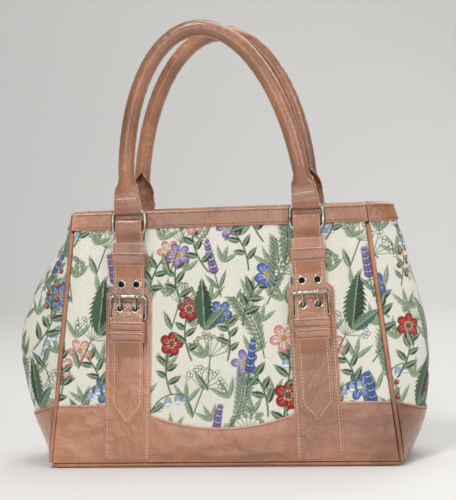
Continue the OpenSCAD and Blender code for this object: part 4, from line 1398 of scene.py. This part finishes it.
# core of a handle: a round rod inside the tube that thins at both ends
def handleCore(body, back, lean):
    look = handleLook
    start = stripAngles()[1]
    a = np.linspace(start, np.pi - start, 160)
    x, z, outX, outZ = (c[:, None] for c in archAt(a, lean))
    f = np.linspace(0, 2 * np.pi, 20, endpoint=False)[None, :]
    share, run = look["taper"]
    r = look["core"] * (1 - share * smoothStep(1 - np.minimum(a - a[0], a[-1] - a) / run))[:, None]
    core = onHandle(x + r * np.cos(f) * outX, r * np.sin(f), z + r * np.cos(f) * outZ)
    filling = addPiece(body + "_filling", skin(core), coreFoam, (body + "_core",), back, body)


# seam across each tab: a zigzag of stitches about one height
def handleSeams(body, back, lean):
    look = handleLook
    rows = []
    across = np.linspace(0.1, 0.9, look["stitches"])
    level = look["seam"] + look["zigzag"] * (-1.0) ** np.arange(look["stitches"])
    level = np.arcsin(level / look["rise"])
    for angle in (level, np.pi - level):
        line = stripPoint(angle, across, 0.0, lean)
        rows.append((line, line - stripPoint(angle, across, 1 * mm, lean)))
    stitches = stitchSet(rows, *look["stitch"])
    addPiece(body + "_stitches", stitches, thread, (), back, body)


for back, lean in zip((False, True), handleLook["lean"]):
    for build in (handleStrip, handleCore, handleSeams):
        build(faceName(back) + "_handle", back, lean)
print("handles done")

# lining: a smooth bag inside the cloth, one shell with a flat floor
liningLook = dict(
    **millimetres(out=2.6, inside=3.4, floor=6.2, floorThick=0.8, rim=248.1, margin=4), levels=34,
)


# loop round the bag at one height: straight front and back, gussets half a sine in plan
def liningLoop(z, off):
    x, y = halfWidth(z) - liningLook["margin"], halfDepth(z) - off
    run = np.linspace(-1, 1, 50)
    front = np.stack([x * run, np.full(50, -y), np.full(50, z)], 1)
    sides = []
    for k in (1, 0):
        end = liningLook["margin"] / np.hypot(np.pi * bulge(k, z), 2 * halfDepth(z))
        sides.append(onGusset(k, np.linspace(end, 1 - end, 24), z, -off))
    return np.concatenate([front, sides[0], front * [-1, -1, 1], sides[1][::-1]])


levels = np.linspace(liningLook["floor"], liningLook["rim"], liningLook["levels"])
innerFloor = levels[0] + liningLook["floorThick"]
outer = np.stack([liningLoop(z, liningLook["out"]) for z in levels])
inner = np.stack([liningLoop(max(z, innerFloor), liningLook["inside"]) for z in levels[::-1]])
shell = skin(np.concatenate([outer, inner]))
lining = addPiece("lining_bag", shell, liningCloth, ("lining",), sharp=50)

# solids that keep their CAD shape
for name, material in (
    ("bottom_panel", baseLeather), ("base_board", rawEdge),
    ("left_buckle_tab", leather), ("right_buckle_tab", leather),
):
    nodes[name].data.materials.clear()
    nodes[name].data.materials.append(material)
print("lining done")

# pale floor that curves up into a backdrop
stageLook = dict(half=2.5, depth=(-2.2, 1.5), r=0.7, top=2.4, colour=(0.8, 0.79, 0.77, 1))
frontEnd, backEnd = stageLook["depth"]
a = np.linspace(0, np.pi / 2, 24)
turn = np.stack([backEnd + stageLook["r"] * np.sin(a), stageLook["r"] * (1 - np.cos(a))], 1)
section = np.concatenate([[[frontEnd, 0]], turn, [[backEnd + stageLook["r"], stageLook["top"]]]])
x = np.linspace(-1, 1, 3) * stageLook["half"]
points = np.stack(np.broadcast_arrays(x[None, :], section[:, :1], section[:, 1:]), -1)
floorMesh = bpy.data.meshes.new("floor")
floorMesh.from_pydata(points.reshape(-1, 3).tolist(), [], gridQuads(len(section), 3)[:, ::-1].tolist())
floorMesh.polygons.foreach_set("use_smooth", np.ones(len(floorMesh.polygons), bool))
floorMesh.materials.append(newMaterial("paleFloor", {
    "Base Color": stageLook["colour"], "Roughness": 0.8, "Specular IOR Level": 0.1,
})[0])
newObject("floor", floorMesh)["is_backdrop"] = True


# round lamp at a place, turned towards its target
def areaLight(name, place, target, size, power, colour):
    data = bpy.data.lights.new(name, "AREA")
    data.shape, data.size, data.energy, data.color = "DISK", size, power, colour
    light = newObject(name, data)
    light.location = place
    light.rotation_euler = (Vector(target) - Vector(place)).to_track_quat("-Z", "Y").to_euler()


areaLight("keyLight", (-0.55, -1.15, 2.1), (0, 0, 0.2), 0.6, 20, (1.0, 0.98, 0.95))
areaLight("frontLight", (-0.35, -2.6, 0.75), (0, 0, 0.2), 1.5, 14, (0.96, 0.98, 1.0))
areaLight("fillLight", (1.6, -1.2, 0.9), (0, 0, 0.2), 1.2, 12, (0.97, 0.98, 1.0))
areaLight("topLight", (0.2, 0.2, 1.8), (0, 0, 0.2), 1.2, 11, (1.0, 1.0, 1.0))
areaLight("rearLight", (0.6, 1.5, 1.3), (0, 0.2, 0.2), 1.2, 6, (1.0, 0.99, 0.97))
world = bpy.data.worlds.new("studio")
world.use_nodes = True
setInputs(world.node_tree.nodes["Background"], dict(Color=(0.92, 0.94, 0.97, 1), Strength=0.32))
bpy.context.scene.world = world
bpy.context.scene.view_settings.view_transform = "Standard"

# camera: a long lens a little to the right and above, rolled as the photograph is
cameraLook = dict(
    azimuth=8.0, elevation=3.3, roll=-2.16, distance=1.3, target=(0.0052, 0.0, 0.2071), lens=94.02,
)
azimuth, elevation, roll = (math.radians(cameraLook[key]) for key in ("azimuth", "elevation", "roll"))
away = np.array([
    math.sin(azimuth) * math.cos(elevation), -math.cos(azimuth) * math.cos(elevation), math.sin(elevation),
])
right = unit(np.cross(-away, (0, 0, 1)))
above = np.cross(right, -away)
rolledRight = right * math.cos(roll) + above * math.sin(roll)
rolledAbove = above * math.cos(roll) - right * math.sin(roll)
turned = np.eye(4)
turned[:3, 0], turned[:3, 1], turned[:3, 2] = rolledRight, rolledAbove, away
turned[:3, 3] = np.array(cameraLook["target"]) + cameraLook["distance"] * away
cameraData = bpy.data.cameras.new("camera")
cameraData.lens = cameraLook["lens"]
camera = newObject("camera", cameraData)
camera.matrix_world = Matrix(turned.tolist())
bpy.context.scene.camera = camera

low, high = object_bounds()
sizes = {"cad": [list(cadLow), list(cadHigh)], "visual": [list(low), list(high)]}
print("stage done")
